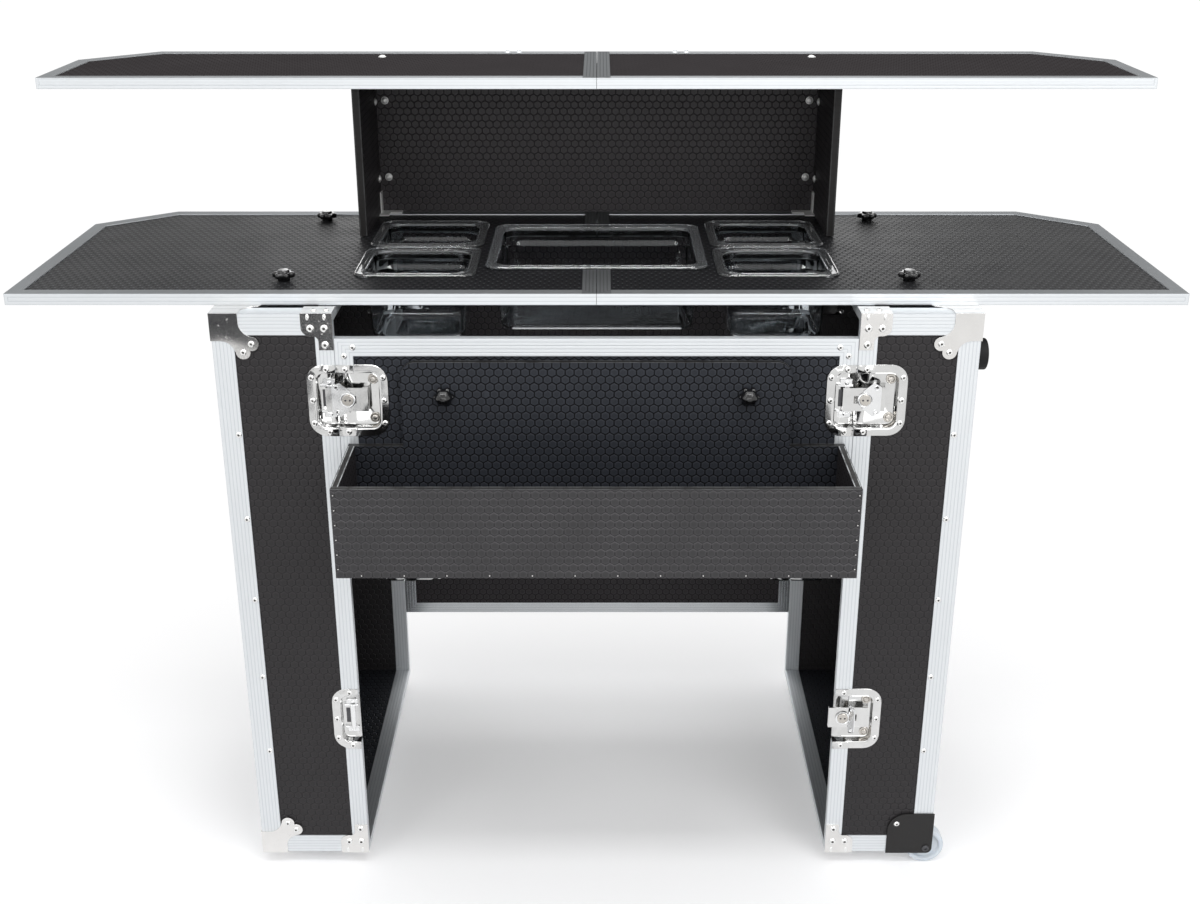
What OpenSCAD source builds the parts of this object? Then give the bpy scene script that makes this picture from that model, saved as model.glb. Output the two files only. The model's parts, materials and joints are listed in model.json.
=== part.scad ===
// Mobile bar unit: two open case legs joined by a rear and a front panel, a lower counter
// with drop-in pans, a riser with an upper counter, and a hook-on bottle rail.
// X runs along the bar, Y from the server's side to the guests' side, Z up.

/* [Case] */
// Width across both legs
case_w = 1050; // [960:1:1200]
// Depth of the legs, front to back
case_d = 550; // [530:1:600]
// Height of the legs, without feet and wheels
case_h = 882; // [860:1:950]
// Width of one leg
leg_w = 166; // [150:1:180]
// Thickness of the case boards
ply_t = 9; // [7:0.5:11]
// Gap between a framed panel and the legs
panel_gap = 0.5; // [0.3:0.1:0.9]
// Height of the open gap under the rear panel
rear_panel_low = 136; // [100:1:170]
// Drop of the front panel's top below the legs' tops
front_panel_drop = 35; // [20:1:45]
// Height of the front panel
front_panel_h = 317; // [300:1:380]

/* [Edging] */
// Sheet thickness of the aluminium edging
edge_t = 1.5; // [1:0.1:2]
// Flange width on the outer edges
edge_w = 30; // [24:1:36]
// Flange width of the channel on free edges
channel_w = 25; // [20:1:28]
// Flange width of the rear panel's channel
rear_channel_w = 20; // [16:1:26]

/* [Corner hardware] */
// Sheet thickness of corner plates and braces
plate_t = 1.5; // [1:0.1:2.5]
// Square body of a corner plate
corner_body = 38; // [34:1:42]
// Radius of the scoop beside a corner plate's lobe
scoop_r = 20; // [16:1:22]
// Straight length of a corner plate's edge before the scoop
scoop_start = 12; // [8:1:16]
// Far centre distance of the corner plate's two lobes
lobe_far = 54; // [52:1:58]
// Near centre distance of the corner plate's two lobes
lobe_near = 42; // [40:1:45]
// Lobe radius
lobe_r = 10; // [8:0.5:11]
// Width of a flat brace
brace_w = 43; // [36:1:48]
// Height of a flat brace
brace_h = 51; // [44:1:56]
// Width of a brace's stem
brace_stem = 20; // [16:1:22]
// Height of a brace's wide end
brace_band = 31; // [28:1:34]
// Radius of a brace's round end
brace_end_r = 12; // [8:1:13]
// Radius of a brace's inner corner
brace_inner_r = 8; // [5:1:9]
// Depth of a brace's top flap
brace_flap = 32; // [20:1:36]
// Rivet head radius
rivet_r = 4.2; // [3:0.1:5]
// Rivet head height
rivet_h = 1.8; // [1:0.1:2.5]
// Spacing of the rivets along the outer edging
rivet_step = 130; // [110:1:140]
// Height of the lowest rivet on the outer edging
rivet_low_z = 186; // [120:1:200]
// Distance of the rivet row from the outer edge
rivet_in = 24.5; // [20:0.5:26]

/* [Latches] */
// Height of the lower latches
latch_low_z = 243; // [200:1:260]
// Distance of the upper latches below the legs' tops
latch_drop = 125; // [112:1:142]
// Height of a latch dish
dish_h = 105; // [100:1:112]
// Length of the dish half that carries the drive
drive_l = 71; // [68:1:76]
// Length of the dish half that carries the keeper
keeper_l = 41; // [38:1:46]
// Flange width round the dish's pocket
dish_rim = 13; // [10:0.5:15]
// Outer corner radius of the dish
dish_r = 24; // [14:1:28]
// Sheet thickness of the dish
dish_t = 1.2; // [0.8:0.1:1.6]
// Depth of the dish's pocket
pocket_d = 12; // [11:0.5:14]
// Corner radius of the dish's pocket
pocket_r = 11; // [6:0.5:12]
// Distance of the pivot from the joint line
pivot_x = 14; // [13:0.5:18]
// Radius of the pivot post
post_r = 5; // [4:0.1:6]
// Radius of the pivot's head
post_head_r = 8; // [7:0.1:9]
// Length of the wing from the pivot
wing_l = 22; // [18:0.5:24]
// Height of the wing's wide end
wing_h = 50; // [42:1:54]
// Height of the hook plate
hook_h = 34; // [28:1:38]
// Length of the hook plate past the joint line, on the keeper's side
hook_reach = 17; // [16:0.5:18]
// Length of the hook plate on the drive's side
hook_tail = 42; // [38:0.5:44]
// Travel that frees a closed hook from its keeper
hook_throw = 6; // [4:0.5:8]
// Distance that the open latch's hook is drawn back
hook_parked = 10; // [6:0.5:11]
// Angle at which the open latch's wing stands out
wing_lift_deg = 60; // [30:1:80]

/* [Castors and feet] */
// Wheel radius
wheel_r = 30; // [28:0.5:32]
// Wheel width
wheel_w = 24; // [18:0.5:28]
// Axle distance from the end of the case
axle_in = 8; // [6:0.5:10]
// Axle height above the case's underside
axle_up = 7.5; // [6:0.5:9]
// Axle radius
axle_r = 4; // [3:0.1:5]
// Side clearance between a wheel and its housing
wheel_gap = 2.5; // [2:0.1:4]
// Width of the castor's front plate
castor_w = 72; // [66:1:80]
// Height of the castor's front plate
castor_h = 71; // [64:1:80]
// Rounding of the castor plate's inner corner
castor_r = 30; // [20:1:34]
// Sheet thickness of the castor housing
castor_t = 2; // [1.5:0.1:3]
// Distance that the castor plate hangs below the case
castor_low = 2; // [1:0.5:4]
// Rounding of the castor plate's lower outer corner
castor_toe_r = 9; // [6:0.5:10]
// Bumper radius on the right end
bumper_r = 22; // [18:0.5:24]
// Distance that a bumper stands out from the end
bumper_out = 14.5; // [10:0.5:20]
// Bumper distance below the top
bumper_drop = 65; // [60:1:90]
// Bumper distance from the front and the rear
bumper_in = 26; // [22:1:32]
// Rubber foot radius
foot_r = 19; // [15:0.5:22]
// Foot distance from the left end
foot_in_x = 40; // [30:1:46]
// Foot distance from the front and the rear
foot_in_y = 100; // [96:1:130]

/* [End handle] */
// Length of the handle dish's flange
handle_l = 160; // [150:1:180]
// Height of the handle dish's flange
handle_h = 112; // [105:1:125]
// Flange width round the handle's pocket
handle_rim = 14; // [10:1:18]
// Corner radius of the handle's flange
handle_r = 16; // [10:1:20]
// Depth of the handle's pocket
handle_d = 17; // [16:0.5:20]
// Wall thickness of the handle dish
handle_t = 2; // [1.5:0.1:2.5]
// Height of the handle's centre
handle_z = 560; // [450:1:650]
// Radius of the handle's grip
grip_r = 7; // [5.5:0.1:7.5]
// Radius of the handle's arms
arm_r = 4; // [3:0.1:5]
// Distance from the handle's pivot to the grip
arm_l = 50; // [44:1:54]
// Radius of the handle's pivot pins
pin_r = 2.5; // [2:0.1:3]

/* [Lower counter] */
// Length of both counters
counter_w = 1630; // [1500:1:1700]
// Distance of the counter's front edge behind the case front
counter_front = 38; // [36:1:44]
// Distance of the counter's rear edge before the case back
counter_back_in = 17; // [12:1:24]
// Thickness of both counters
counter_t = 16; // [13:0.5:19]
// Length of the lower counter's clipped corner
counter_clip_x = 111; // [60:1:140]
// Depth of the lower counter's clipped corner
counter_clip_y = 90; // [60:1:110]
// Flange width of the counter trim
trim_w = 20; // [15:0.5:24]
// Sheet thickness of the counter trim
trim_t = 1.5; // [1:0.1:2]
// Gap between the two halves of a counter
seam_gap = 0.6; // [0.4:0.1:0.9]

/* [Counter knobs] */
// Knob distance from midway between the riser's side and the end of the case
knob_shift = 5; // [0:0.5:10]
// Distance of the front knobs behind the case front
knob_front_y = 113; // [90:1:130]
// Distance of the rear knobs before the case back
knob_rear_in = 73; // [60:1:90]
// Star knob's overall radius
knob_r = 16; // [13:0.5:20]
// Star knob's height
knob_h = 19; // [14:0.5:24]
// Number of lobes on every knob
knob_lobes = 6; // [5:1:8]
// Radius of the knobs' studs
stud_r = 4; // [3:0.1:5]
// Radius of the threaded inserts
insert_r = 8; // [6.5:0.1:9]

/* [Pans] */
// Large pan's rim length
large_pan_l = 325; // [300:1:330]
// Large pan's rim depth
large_pan_d = 265; // [240:1:270]
// Large pan's centre behind the counter's centre
large_pan_back = 10; // [0:0.5:20]
// Small pan's rim length
small_pan_l = 176; // [160:1:180]
// Small pan's rim depth
small_pan_d = 162; // [150:1:164]
// Small pan's centre distance from the middle of the bar
small_pan_x = 262; // [258:1:268]
// Centre of the small pans' two rows behind the counter's centre
small_pan_back = 7.5; // [0:0.5:12]
// Gap between the front and the rear small pans
small_pan_gap = 10; // [6:1:14]
// Depth of a pan's body
pan_body_h = 100; // [65:1:150]
// Width of a pan's rim
pan_rim = 13; // [10:0.5:15]
// Thickness of a pan's rim
pan_rim_t = 4; // [3:0.1:6]
// Wall thickness of a pan
pan_wall = 2.5; // [2:0.1:3.5]
// Corner radius of a pan's body
pan_r = 22; // [12:1:28]
// Clearance of a pan's body in its cut-out
pan_gap = 2; // [1:0.5:3]

/* [Riser] */
// Outer width of the riser
riser_w = 746; // [700:1:760]
// Clear height between the counters
riser_h = 242; // [200:1:300]
// Depth of the riser's side boards
riser_d = 171; // [140:1:200]
// Thickness of the riser's boards
riser_t = 12; // [9:0.5:15]
// Gap between the lower counter and the riser's back
riser_gap = 0.5; // [0.3:0.1:0.9]
// Leg length of a riser bracket
bracket_l = 35; // [26:1:42]
// Leg width of a riser bracket
bracket_w = 16; // [12:0.5:20]

/* [Upper counter] */
// Depth of the upper counter
upper_d = 297; // [280:1:320]
// Overhang of the upper counter behind the riser's back
upper_overhang = 19; // [10:1:40]
// Length of the upper counter's clipped corner
upper_clip_x = 103; // [60:1:140]
// Depth of the upper counter's clipped corner
upper_clip_y = 102; // [60:1:120]
// Dome fastener radius
dome_r = 5; // [3:0.1:6]
// Dome fastener height
dome_h = 3; // [2:0.1:4]

/* [Bottle rail] */
// Outer length of the rail
rail_w = 695; // [640:1:700]
// Distance that the rail stands out from the case front
rail_out = 161; // [120:1:180]
// Height of the rail's front
rail_h = 129; // [100:1:134]
// Distance of the rail's upper edge below the legs' tops
rail_drop = 189; // [182:1:202]
// Thickness of the rail's boards
rail_t = 10; // [8:0.5:12]
// Width of the rail's hanging tab
tab_w = 539; // [500:1:550]
// Height of the tab above the rail's edge
tab_h = 123; // [110:1:126]
// Corner radius of the tab
tab_r = 22; // [10:1:30]
// Rail knob distance from the middle of the bar
rail_knob_x = 210; // [180:1:230]
// Rail knob distance above the rail's edge
rail_knob_up = 75; // [60:1:90]
// Rail knob radius
rail_knob_r = 14.5; // [12:0.5:18]
// Rail knob length
rail_knob_l = 18; // [14:0.5:24]

/* [Hidden] */
$fn = 48;

// Overrun of every cut past the face that it opens
over = 2;
// Radial running clearance of pins, studs and posts
run = 0.05;
// Free clearance between pieces that slide past each other
slack = 0.5;
// Radial clearance of a stud in a plain hole
hole_slack = 0.4;

// Case
leg_in = case_w / 2 - leg_w;
case_half = case_w / 2;
skin_t = edge_t + ply_t;
lining_t = skin_t + edge_t;
panel_w = 2 * (leg_in - panel_gap);
front_panel_top = case_h - front_panel_drop;
rear_panel_h = case_h - rear_panel_low;
seat_z = case_h + plate_t;
lift = wheel_r - axle_up;
latch_high_z = case_h - latch_drop;
rail_top_z = case_h - rail_drop;

// Counters
counter_half = counter_w / 2;
counter_back = case_d - counter_back_in;
counter_mid = (counter_front + counter_back) / 2;
counter_top = seat_z + counter_t;
board_top = counter_top - trim_t;
riser_back_y = counter_back + riser_gap;
riser_half = riser_w / 2;
upper_back = riser_back_y + riser_t + upper_overhang;
upper_front = upper_back - upper_d;
upper_low = counter_top + riser_h;
upper_top = upper_low + counter_t;
mid_y = (upper_back - rail_out) / 2;

// Latch layers, measured inwards from the face
wing_t = 1.5;
wing_y = 2;
hook_t = 1.5;
hook_y = wing_y + wing_t + slack;
hook_drop = 6;
hook_tip_t = 1.7;
keeper_y = hook_y + hook_t + slack;
keeper_bar = 7;
keeper_near = hook_reach - hook_tip_t - slack - keeper_bar;
hook_fold_r = (pocket_d - hook_y - slack) / 2;
pocket_h = dish_h - 2 * dish_rim;
post_head_y = 0.6;
wing_hub_r = 11;
wing_hole_r = 2.2;
wing_wide_share = 0.5;
wing_back_share = 0.15;
wing_waist_share = 0.52;
wing_hole_shares = [0.7, 0.36];
dish_rivet_share = 0.32;

// Castor housing
castor_reach = wheel_r + wheel_gap;
castor_deep = wheel_w + 2 * wheel_gap;
castor_x = case_half - axle_in;
castor_head_r = 5.5;
castor_head_h = 2;
castor_rivet_shares = [0.81, 0.75];

// Rivet head's top radius as a share of its base
rivet_top_share = 0.55;
dome_top_share = 0.5;
brace_rivet_shares = [[0.26, 0.39], [0.7, 0.39], [0.26, 0.85]];

// Handle
handle_x = -case_half + edge_t;
pocket_l = handle_l - 2 * handle_rim;
handle_pocket_h = handle_h - 2 * handle_rim;
pivot_drop = 10;
handle_low = handle_z - handle_pocket_h / 2;
handle_pivot_z = handle_z + handle_pocket_h / 2 - pivot_drop;
handle_pivot_x = handle_x + grip_r + slack / 2;
grip_l = pocket_l - 2 * handle_rim;
pin_l = (pocket_l - grip_l) / 2 + handle_t;
knuckle_share = 0.75;
knuckle_r = grip_r * knuckle_share;

// Knobs
knob_x = (riser_half + case_half) / 2 - knob_shift;
knob_rear_y = case_d - knob_rear_in;
knob_core_share = 0.72;
knob_lobe_share = 0.3;
washer_h = 2;
insert_h = 14;
stud_reach = counter_t + insert_h;
rail_stud_past = 8;
rail_stud_l = rail_t + lining_t + rail_stud_past;
rail_dome_h = 3;

// Pan centres along Y
large_pan_y = counter_mid + large_pan_back;
small_pan_step = (small_pan_d + small_pan_gap) / 2;
pan_rows = [for (row = [-1, 1]) counter_mid + small_pan_back + row * small_pan_step];
rim_r_share = 0.9;

// Riser fixings
bracket_t = 2;
bolt_in = 14;
bolt_shares = [0.24, 0.76];
fastener_in = 11;
fastener_shares = [0.92, 0.39, 0.34];
fastener_side_share = 0.2;
fastener_side_y = upper_back - upper_d * fastener_side_share;

// Latch places: side of the bar, height, and whether it is on the rear
latch_a = [-1, latch_high_z, false];
latch_b = [1, latch_high_z, false];
latch_c = [1, latch_low_z, false];
latch_d = [-1, latch_low_z, true];
latch_e = [1, latch_low_z, true];
latch_f = [-1, latch_high_z, true];
latch_g = [1, latch_high_z, true];
spare_keeper = [-1, latch_low_z, false];
paired = [latch_a, latch_b, latch_d, latch_e, latch_f, latch_g];

// Moves the whole unit to stand on its feet, centred front to back
module stand() {
    translate([0, -mid_y, lift]) children();
}

// Draws a copy on the left and its mirror image on the right
module both_sides() {
    children();
    mirror([1, 0, 0]) children();
}

// Draws a copy at the front and its mirror image at the rear
module both_faces() {
    children();
    translate([0, case_d, 0]) mirror([0, 1, 0]) children();
}

// Flat rectangle with all four corners rounded, centred
module rounded_rect(l, d, r) {
    square([l - 2 * r, d], center = true);
    square([l, d - 2 * r], center = true);
    for (x = [-1, 1], y = [-1, 1]) {
        translate([x * (l / 2 - r), y * (d / 2 - r)]) circle(r = r);
    }
}

// Stands a flat outline up, facing the front, and gives it thickness towards the viewer
module facing_front(t) {
    rotate([90, 0, 0]) linear_extrude(t) children();
}

// Rivet head that points to the front
module front_rivet() {
    rotate([90, 0, 0]) cylinder(r1 = rivet_r, r2 = rivet_r * rivet_top_share, h = rivet_h);
}

// Dome head that points up
module dome() {
    cylinder(r1 = dome_r, r2 = dome_r * dome_top_share, h = dome_h);
}

// Carries a latch piece to its place; Y then runs inwards from the face
module at_latch(place) {
    translate([place[0] * leg_in, place[2] ? case_d : 0, place[1]])
        mirror([0, place[2] ? 1 : 0, 0])
            children();
}

// Space that every latch dish takes out of the boards and the edging
module latch_spaces() {
    for (place = concat(paired, [latch_c, spare_keeper])) {
        at_latch(place)
            translate([dish_rim - keeper_l - dish_t - slack, -over, -pocket_h / 2 - dish_t - slack])
                cube([
                    keeper_l + drive_l - 2 * (dish_rim - dish_t - slack),
                    pocket_d + dish_t + slack + over,
                    pocket_h + 2 * (dish_t + slack)
                ]);
    }
}

// Space that the two castor housings take out of the right leg
module castor_spaces() {
    both_faces()
        translate([castor_x - castor_reach - castor_t, -over, -over])
            cube([
                castor_reach + castor_t + axle_in + over,
                castor_deep + castor_t + over,
                axle_up + castor_reach + castor_t + over
            ]);
}

// Space that the handle dish takes out of the left end
module handle_space() {
    translate([-case_half - over, (case_d - pocket_l) / 2 - handle_t, handle_low - handle_t])
        cube([handle_d + handle_t + edge_t + over, pocket_l + 2 * handle_t, handle_pocket_h + 2 * handle_t]);
}

// Holes for the knob studs, drawn along Z
module knob_holes(r, low, high) {
    for (y = [knob_front_y, knob_rear_y]) {
        both_sides()
            translate([knob_x, y, low]) cylinder(r = r, h = high - low);
    }
}

// Aluminium edging of the left leg: angles on the outer edges, channels on the free ones
module leg_edging() {
    difference() {
        union() {
            difference() {
                cube([leg_w, case_d, case_h]);
                translate([edge_t, edge_t, edge_t])
                    cube([leg_w - 2 * edge_t, case_d - 2 * edge_t, case_h - 2 * edge_t]);
            }
            difference() {
                translate([leg_w - channel_w, skin_t, skin_t])
                    cube([channel_w, case_d - 2 * skin_t, case_h - 2 * skin_t]);
                translate([leg_w - channel_w - over, lining_t, lining_t])
                    cube([channel_w + 2 * over, case_d - 2 * lining_t, case_h - 2 * lining_t]);
            }
        }
        translate([edge_w, -over, edge_w])
            cube([leg_w - edge_w - channel_w, case_d + 2 * over, case_h - 2 * edge_w]);
        translate([edge_w, edge_w, -over])
            cube([leg_w - edge_w - channel_w, case_d - 2 * edge_w, case_h + 2 * over]);
        translate([-over, edge_w, edge_w])
            cube([edge_t + 2 * over, case_d - 2 * edge_w, case_h - 2 * edge_w]);
        translate([leg_w - edge_t - over, lining_t, lining_t])
            cube([edge_t + 2 * over, case_d - 2 * lining_t, case_h - 2 * lining_t]);
    }
}

module left_leg_edging() {
    color("silver")
        difference() {
            translate([-case_half, 0, 0]) leg_edging();
            latch_spaces();
        }
}

module right_leg_edging() {
    color("silver")
        difference() {
            mirror([1, 0, 0]) translate([-case_half, 0, 0]) leg_edging();
            latch_spaces();
            castor_spaces();
        }
}

// Front board of the left leg; the rear one is its mirror image
module leg_face_board() {
    translate([-case_half + edge_t, edge_t, edge_t])
        cube([leg_w - 2 * edge_t, ply_t, case_h - 2 * edge_t]);
}

module leg_face_boards() {
    color("dimgray")
        difference() {
            both_faces() both_sides() leg_face_board();
            latch_spaces();
            castor_spaces();
        }
}

module leg_end_boards() {
    color("dimgray")
        difference() {
            both_sides()
                translate([-case_half + edge_t, skin_t, edge_t])
                    cube([ply_t, case_d - 2 * skin_t, case_h - 2 * edge_t]);
            handle_space();
            castor_spaces();
        }
}

// Floor board of the left leg; the top board lies at another height
module leg_cap(z) {
    translate([-case_half + skin_t, skin_t, z])
        cube([leg_w - skin_t - edge_t, case_d - 2 * skin_t, ply_t]);
}

module leg_caps() {
    color("dimgray")
        difference() {
            both_sides() {
                leg_cap(edge_t);
                leg_cap(case_h - skin_t);
            }
            castor_spaces();
            knob_holes(insert_r, case_h - skin_t - over, case_h);
        }
}

// Board of a framed panel that stands between the legs
module panel_board(h) {
    translate([-panel_w / 2 + edge_t, edge_t, edge_t])
        cube([panel_w - 2 * edge_t, ply_t, h - 2 * edge_t]);
}

// Channel frame round a panel
module panel_frame(h, flange) {
    difference() {
        translate([-panel_w / 2, 0, 0]) cube([panel_w, lining_t, h]);
        panel_board(h);
        translate([-panel_w / 2 + flange, -over, flange])
            cube([panel_w - 2 * flange, lining_t + 2 * over, h - 2 * flange]);
    }
}

module rear_panel() {
    color("dimgray")
        difference() {
            translate([0, case_d - lining_t, rear_panel_low]) panel_board(rear_panel_h);
            latch_spaces();
        }
}

module rear_panel_edging() {
    color("silver")
        difference() {
            translate([0, case_d - lining_t, rear_panel_low]) panel_frame(rear_panel_h, rear_channel_w);
            latch_spaces();
        }
}

// Holes for the rail knobs' studs
module rail_stud_holes(r, front, back) {
    both_sides()
        translate([rail_knob_x, back, rail_top_z + rail_knob_up])
            rotate([90, 0, 0]) cylinder(r = r, h = back - front);
}

module front_panel() {
    color("dimgray")
        difference() {
            translate([0, 0, front_panel_top - front_panel_h]) panel_board(front_panel_h);
            latch_spaces();
            rail_stud_holes(stud_r + run, -over, lining_t + over);
        }
}

module front_panel_edging() {
    color("silver")
        difference() {
            translate([0, 0, front_panel_top - front_panel_h]) panel_frame(front_panel_h, channel_w);
            latch_spaces();
        }
}

// Scoop beside the lobe of a corner plate
module corner_scoop() {
    translate([corner_body + scoop_r, scoop_start]) circle(r = scoop_r);
    translate([corner_body, -plate_t - over]) square([2 * scoop_r, scoop_start + plate_t + over]);
}

// Outline of a corner plate on one face, from the corner outwards
module corner_outline() {
    difference() {
        union() {
            translate([-plate_t, -plate_t]) square((lobe_far + lobe_near) / 2 + plate_t);
            square([lobe_far, lobe_near]);
            square([lobe_near, lobe_far]);
            translate([lobe_far, lobe_near]) circle(r = lobe_r);
            translate([lobe_near, lobe_far]) circle(r = lobe_r);
        }
        corner_scoop();
        mirror([1, -1]) corner_scoop();
    }
}

// Steel corner with one plate on each of three faces
module steel_corner() {
    for (turn = [0, 1, 2]) {
        rotate([0, 0, turn == 0 ? 0 : turn == 1 ? 90 : 0])
            rotate([turn == 0 ? 0 : 90, 0, 0])
                mirror([0, 0, turn == 2 ? 0 : 1])
                    linear_extrude(plate_t) corner_outline();
    }
}

module steel_corners() {
    color("gainsboro") {
        both_faces() {
            both_sides()
                translate([-case_half, 0, case_h]) mirror([0, 0, 1]) steel_corner();
            translate([-case_half, 0, 0]) steel_corner();
        }
    }
}

// Outline of a flat brace, from the leg's inner corner outwards
module brace_outline() {
    difference() {
        square([brace_w, brace_h]);
        translate([brace_stem + brace_inner_r, brace_band + brace_inner_r]) circle(r = brace_inner_r);
        translate([brace_stem + brace_inner_r, brace_band]) square([brace_w, brace_h]);
        translate([brace_stem, brace_band + brace_inner_r]) square([brace_w, brace_h]);
        translate([brace_w - brace_end_r, brace_band - brace_end_r]) difference() {
            square(brace_end_r + over);
            circle(r = brace_end_r);
        }
    }
}

// Flat brace on a leg's inner corner, with a flap over the end face
module brace() {
    facing_front(plate_t) brace_outline();
    translate([0, -plate_t, -plate_t]) cube([brace_w, brace_flap + plate_t, plate_t]);
}

module corner_braces() {
    color("gainsboro")
        both_faces() both_sides() {
            translate([leg_in, 0, 0]) brace();
            translate([leg_in, 0, case_h]) mirror([0, 0, 1]) brace();
        }
}

// Rivet row along the outer edging, as heights
function rivet_rows() = [for (z = [rivet_low_z:rivet_step:case_h - rivet_step]) z];

module case_rivets() {
    color("white")
        both_faces() both_sides() {
            for (z = rivet_rows()) {
                translate([case_half - rivet_in, 0, z]) front_rivet();
                translate([case_half, rivet_in, z]) rotate([0, 0, 90]) front_rivet();
            }
            for (spot = brace_rivet_shares, z = [brace_h * spot[1], case_h - brace_h * spot[1]]) {
                translate([leg_in + brace_w * spot[0], -plate_t, z]) front_rivet();
            }
        }
    color("white") both_faces()
        translate([
            case_half + castor_t - castor_w * castor_rivet_shares[0],
            -castor_t,
            castor_h * castor_rivet_shares[1]
        ])
            front_rivet();
    color("white") both_sides() {
        panel_rivets(front_panel_top - front_panel_h, front_panel_h, channel_w);
        translate([0, case_d, 0]) mirror([0, 1, 0])
            panel_rivets(rear_panel_low, rear_panel_h, rear_channel_w);
    }
}

// Two rivets on each right-hand corner of a panel's frame, clear of the mitre
module panel_rivets(low, h, flange) {
    for (spot = [[flange, flange / 2], [flange / 2, flange]], z = [low + spot[1], low + h - spot[1]]) {
        translate([panel_w / 2 - spot[0], 0, z]) front_rivet();
    }
}

// Outline of a castor's front plate, rounded at the upper left and round the axle
module castor_outline() {
    difference() {
        translate([0, -castor_low]) square([castor_w, castor_h + castor_low]);
        translate([0, castor_h - castor_r]) square(castor_r);
        translate([castor_w - castor_toe_r, -castor_low]) square(castor_toe_r);
    }
    intersection() {
        translate([castor_w - castor_toe_r, castor_toe_r - castor_low]) circle(r = castor_toe_r);
        translate([castor_w - castor_toe_r, -castor_low]) square(castor_toe_r);
    }
    intersection() {
        translate([castor_r, castor_h - castor_r]) circle(r = castor_r);
        translate([0, castor_h - castor_r]) square(castor_r);
    }
}

// Wheel housing let into the lower right corner: front plate, inner cheek, wall and roof
module castor_housing() {
    difference() {
        union() {
            translate([case_half + castor_t - castor_w, 0, 0]) facing_front(castor_t) castor_outline();
            translate([castor_x - castor_reach - castor_t, 0, 0])
                cube([
                    castor_reach + castor_t + axle_in,
                    castor_deep + castor_t,
                    axle_up + castor_reach + castor_t
                ]);
        }
        translate([castor_x - castor_reach, 0, -over])
            cube([castor_reach + axle_in + over, castor_deep, axle_up + castor_reach + over]);
        translate([castor_x, castor_deep + castor_t + over, axle_up])
            rotate([90, 0, 0]) cylinder(r = axle_r, h = castor_deep + 2 * (castor_t + over));
    }
}

module castor_housings() {
    color("black") both_faces() castor_housing();
}

module castor_axles() {
    color("gray")
        both_faces()
            translate([castor_x, 0, axle_up]) {
                translate([0, castor_deep + castor_t, 0])
                    rotate([90, 0, 0]) cylinder(r = axle_r, h = castor_deep + 2 * castor_t);
                translate([0, -castor_t, 0])
                    rotate([90, 0, 0]) cylinder(r = castor_head_r, h = castor_head_h);
            }
}

// Castor wheel on its axle
module castor_wheel() {
    translate([castor_x, wheel_gap + wheel_w, axle_up])
        rotate([90, 0, 0])
            difference() {
                cylinder(r = wheel_r, h = wheel_w);
                translate([0, 0, -over]) cylinder(r = axle_r + run, h = wheel_w + 2 * over);
            }
}

module castor_wheel_front() {
    color("whitesmoke") castor_wheel();
}

module castor_wheel_rear() {
    color("whitesmoke") translate([0, case_d, 0]) mirror([0, 1, 0]) castor_wheel();
}

module end_bumpers() {
    color("black")
        both_faces()
            translate([case_half + plate_t, bumper_in, case_h - bumper_drop])
                rotate([0, 90, 0]) cylinder(r = bumper_r, h = bumper_out - plate_t);
}

module floor_feet() {
    color("black")
        both_faces()
            translate([-case_half + foot_in_x, foot_in_y, -lift]) cylinder(r = foot_r, h = lift);
}

// Turns a flat outline so that it lies on the left end and thickens inwards
module on_left_end(t) {
    rotate([90, 0, 90]) linear_extrude(t) children();
}

module handle_dish() {
    color("gainsboro")
        difference() {
            union() {
                translate([handle_x - dish_t, case_d / 2, handle_z])
                    on_left_end(dish_t) rounded_rect(handle_l, handle_h, handle_r);
                translate([handle_x, (case_d - pocket_l) / 2 - handle_t, handle_low - handle_t])
                    cube([handle_d + handle_t, pocket_l + 2 * handle_t, handle_pocket_h + 2 * handle_t]);
            }
            translate([handle_x - dish_t - over, (case_d - pocket_l) / 2, handle_low])
                cube([handle_d + dish_t + over, pocket_l, handle_pocket_h]);
            translate([handle_pivot_x, case_d / 2 + pocket_l / 2 + handle_t + over, handle_pivot_z])
                rotate([90, 0, 0]) cylinder(r = pin_r + run, h = pocket_l + 2 * (handle_t + over));
        }
}

module handle_grip() {
    color("black")
        translate([handle_pivot_x, case_d / 2, handle_pivot_z]) {
            translate([0, 0, -arm_l])
                rotate([90, 0, 0]) cylinder(r = grip_r, h = grip_l + 2 * knuckle_r, center = true);
            for (side = [-1, 1]) {
                translate([0, side * grip_l / 2, -arm_l]) cylinder(r = arm_r, h = arm_l);
                translate([0, side * grip_l / 2, 0])
                    rotate([90, 0, 0]) cylinder(r = knuckle_r, h = 2 * knuckle_r, center = true);
                translate([0, side * (grip_l + pin_l) / 2, 0])
                    rotate([90, 0, 0]) cylinder(r = pin_r, h = pin_l, center = true);
            }
        }
}

// Outline of half a dish or of its pocket, from a start near the joint line to its rounded end
module half_round_rect(start, l, h, r) {
    intersection() {
        translate([start, -h / 2]) square([l - start, h]);
        union() {
            translate([start, -h / 2]) square([l - r - start, h]);
            translate([start, r - h / 2]) square([l - start, h - 2 * r]);
            for (side = [-1, 1]) {
                translate([l - r, side * (h / 2 - r)]) circle(r = r);
            }
        }
    }
}

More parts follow.
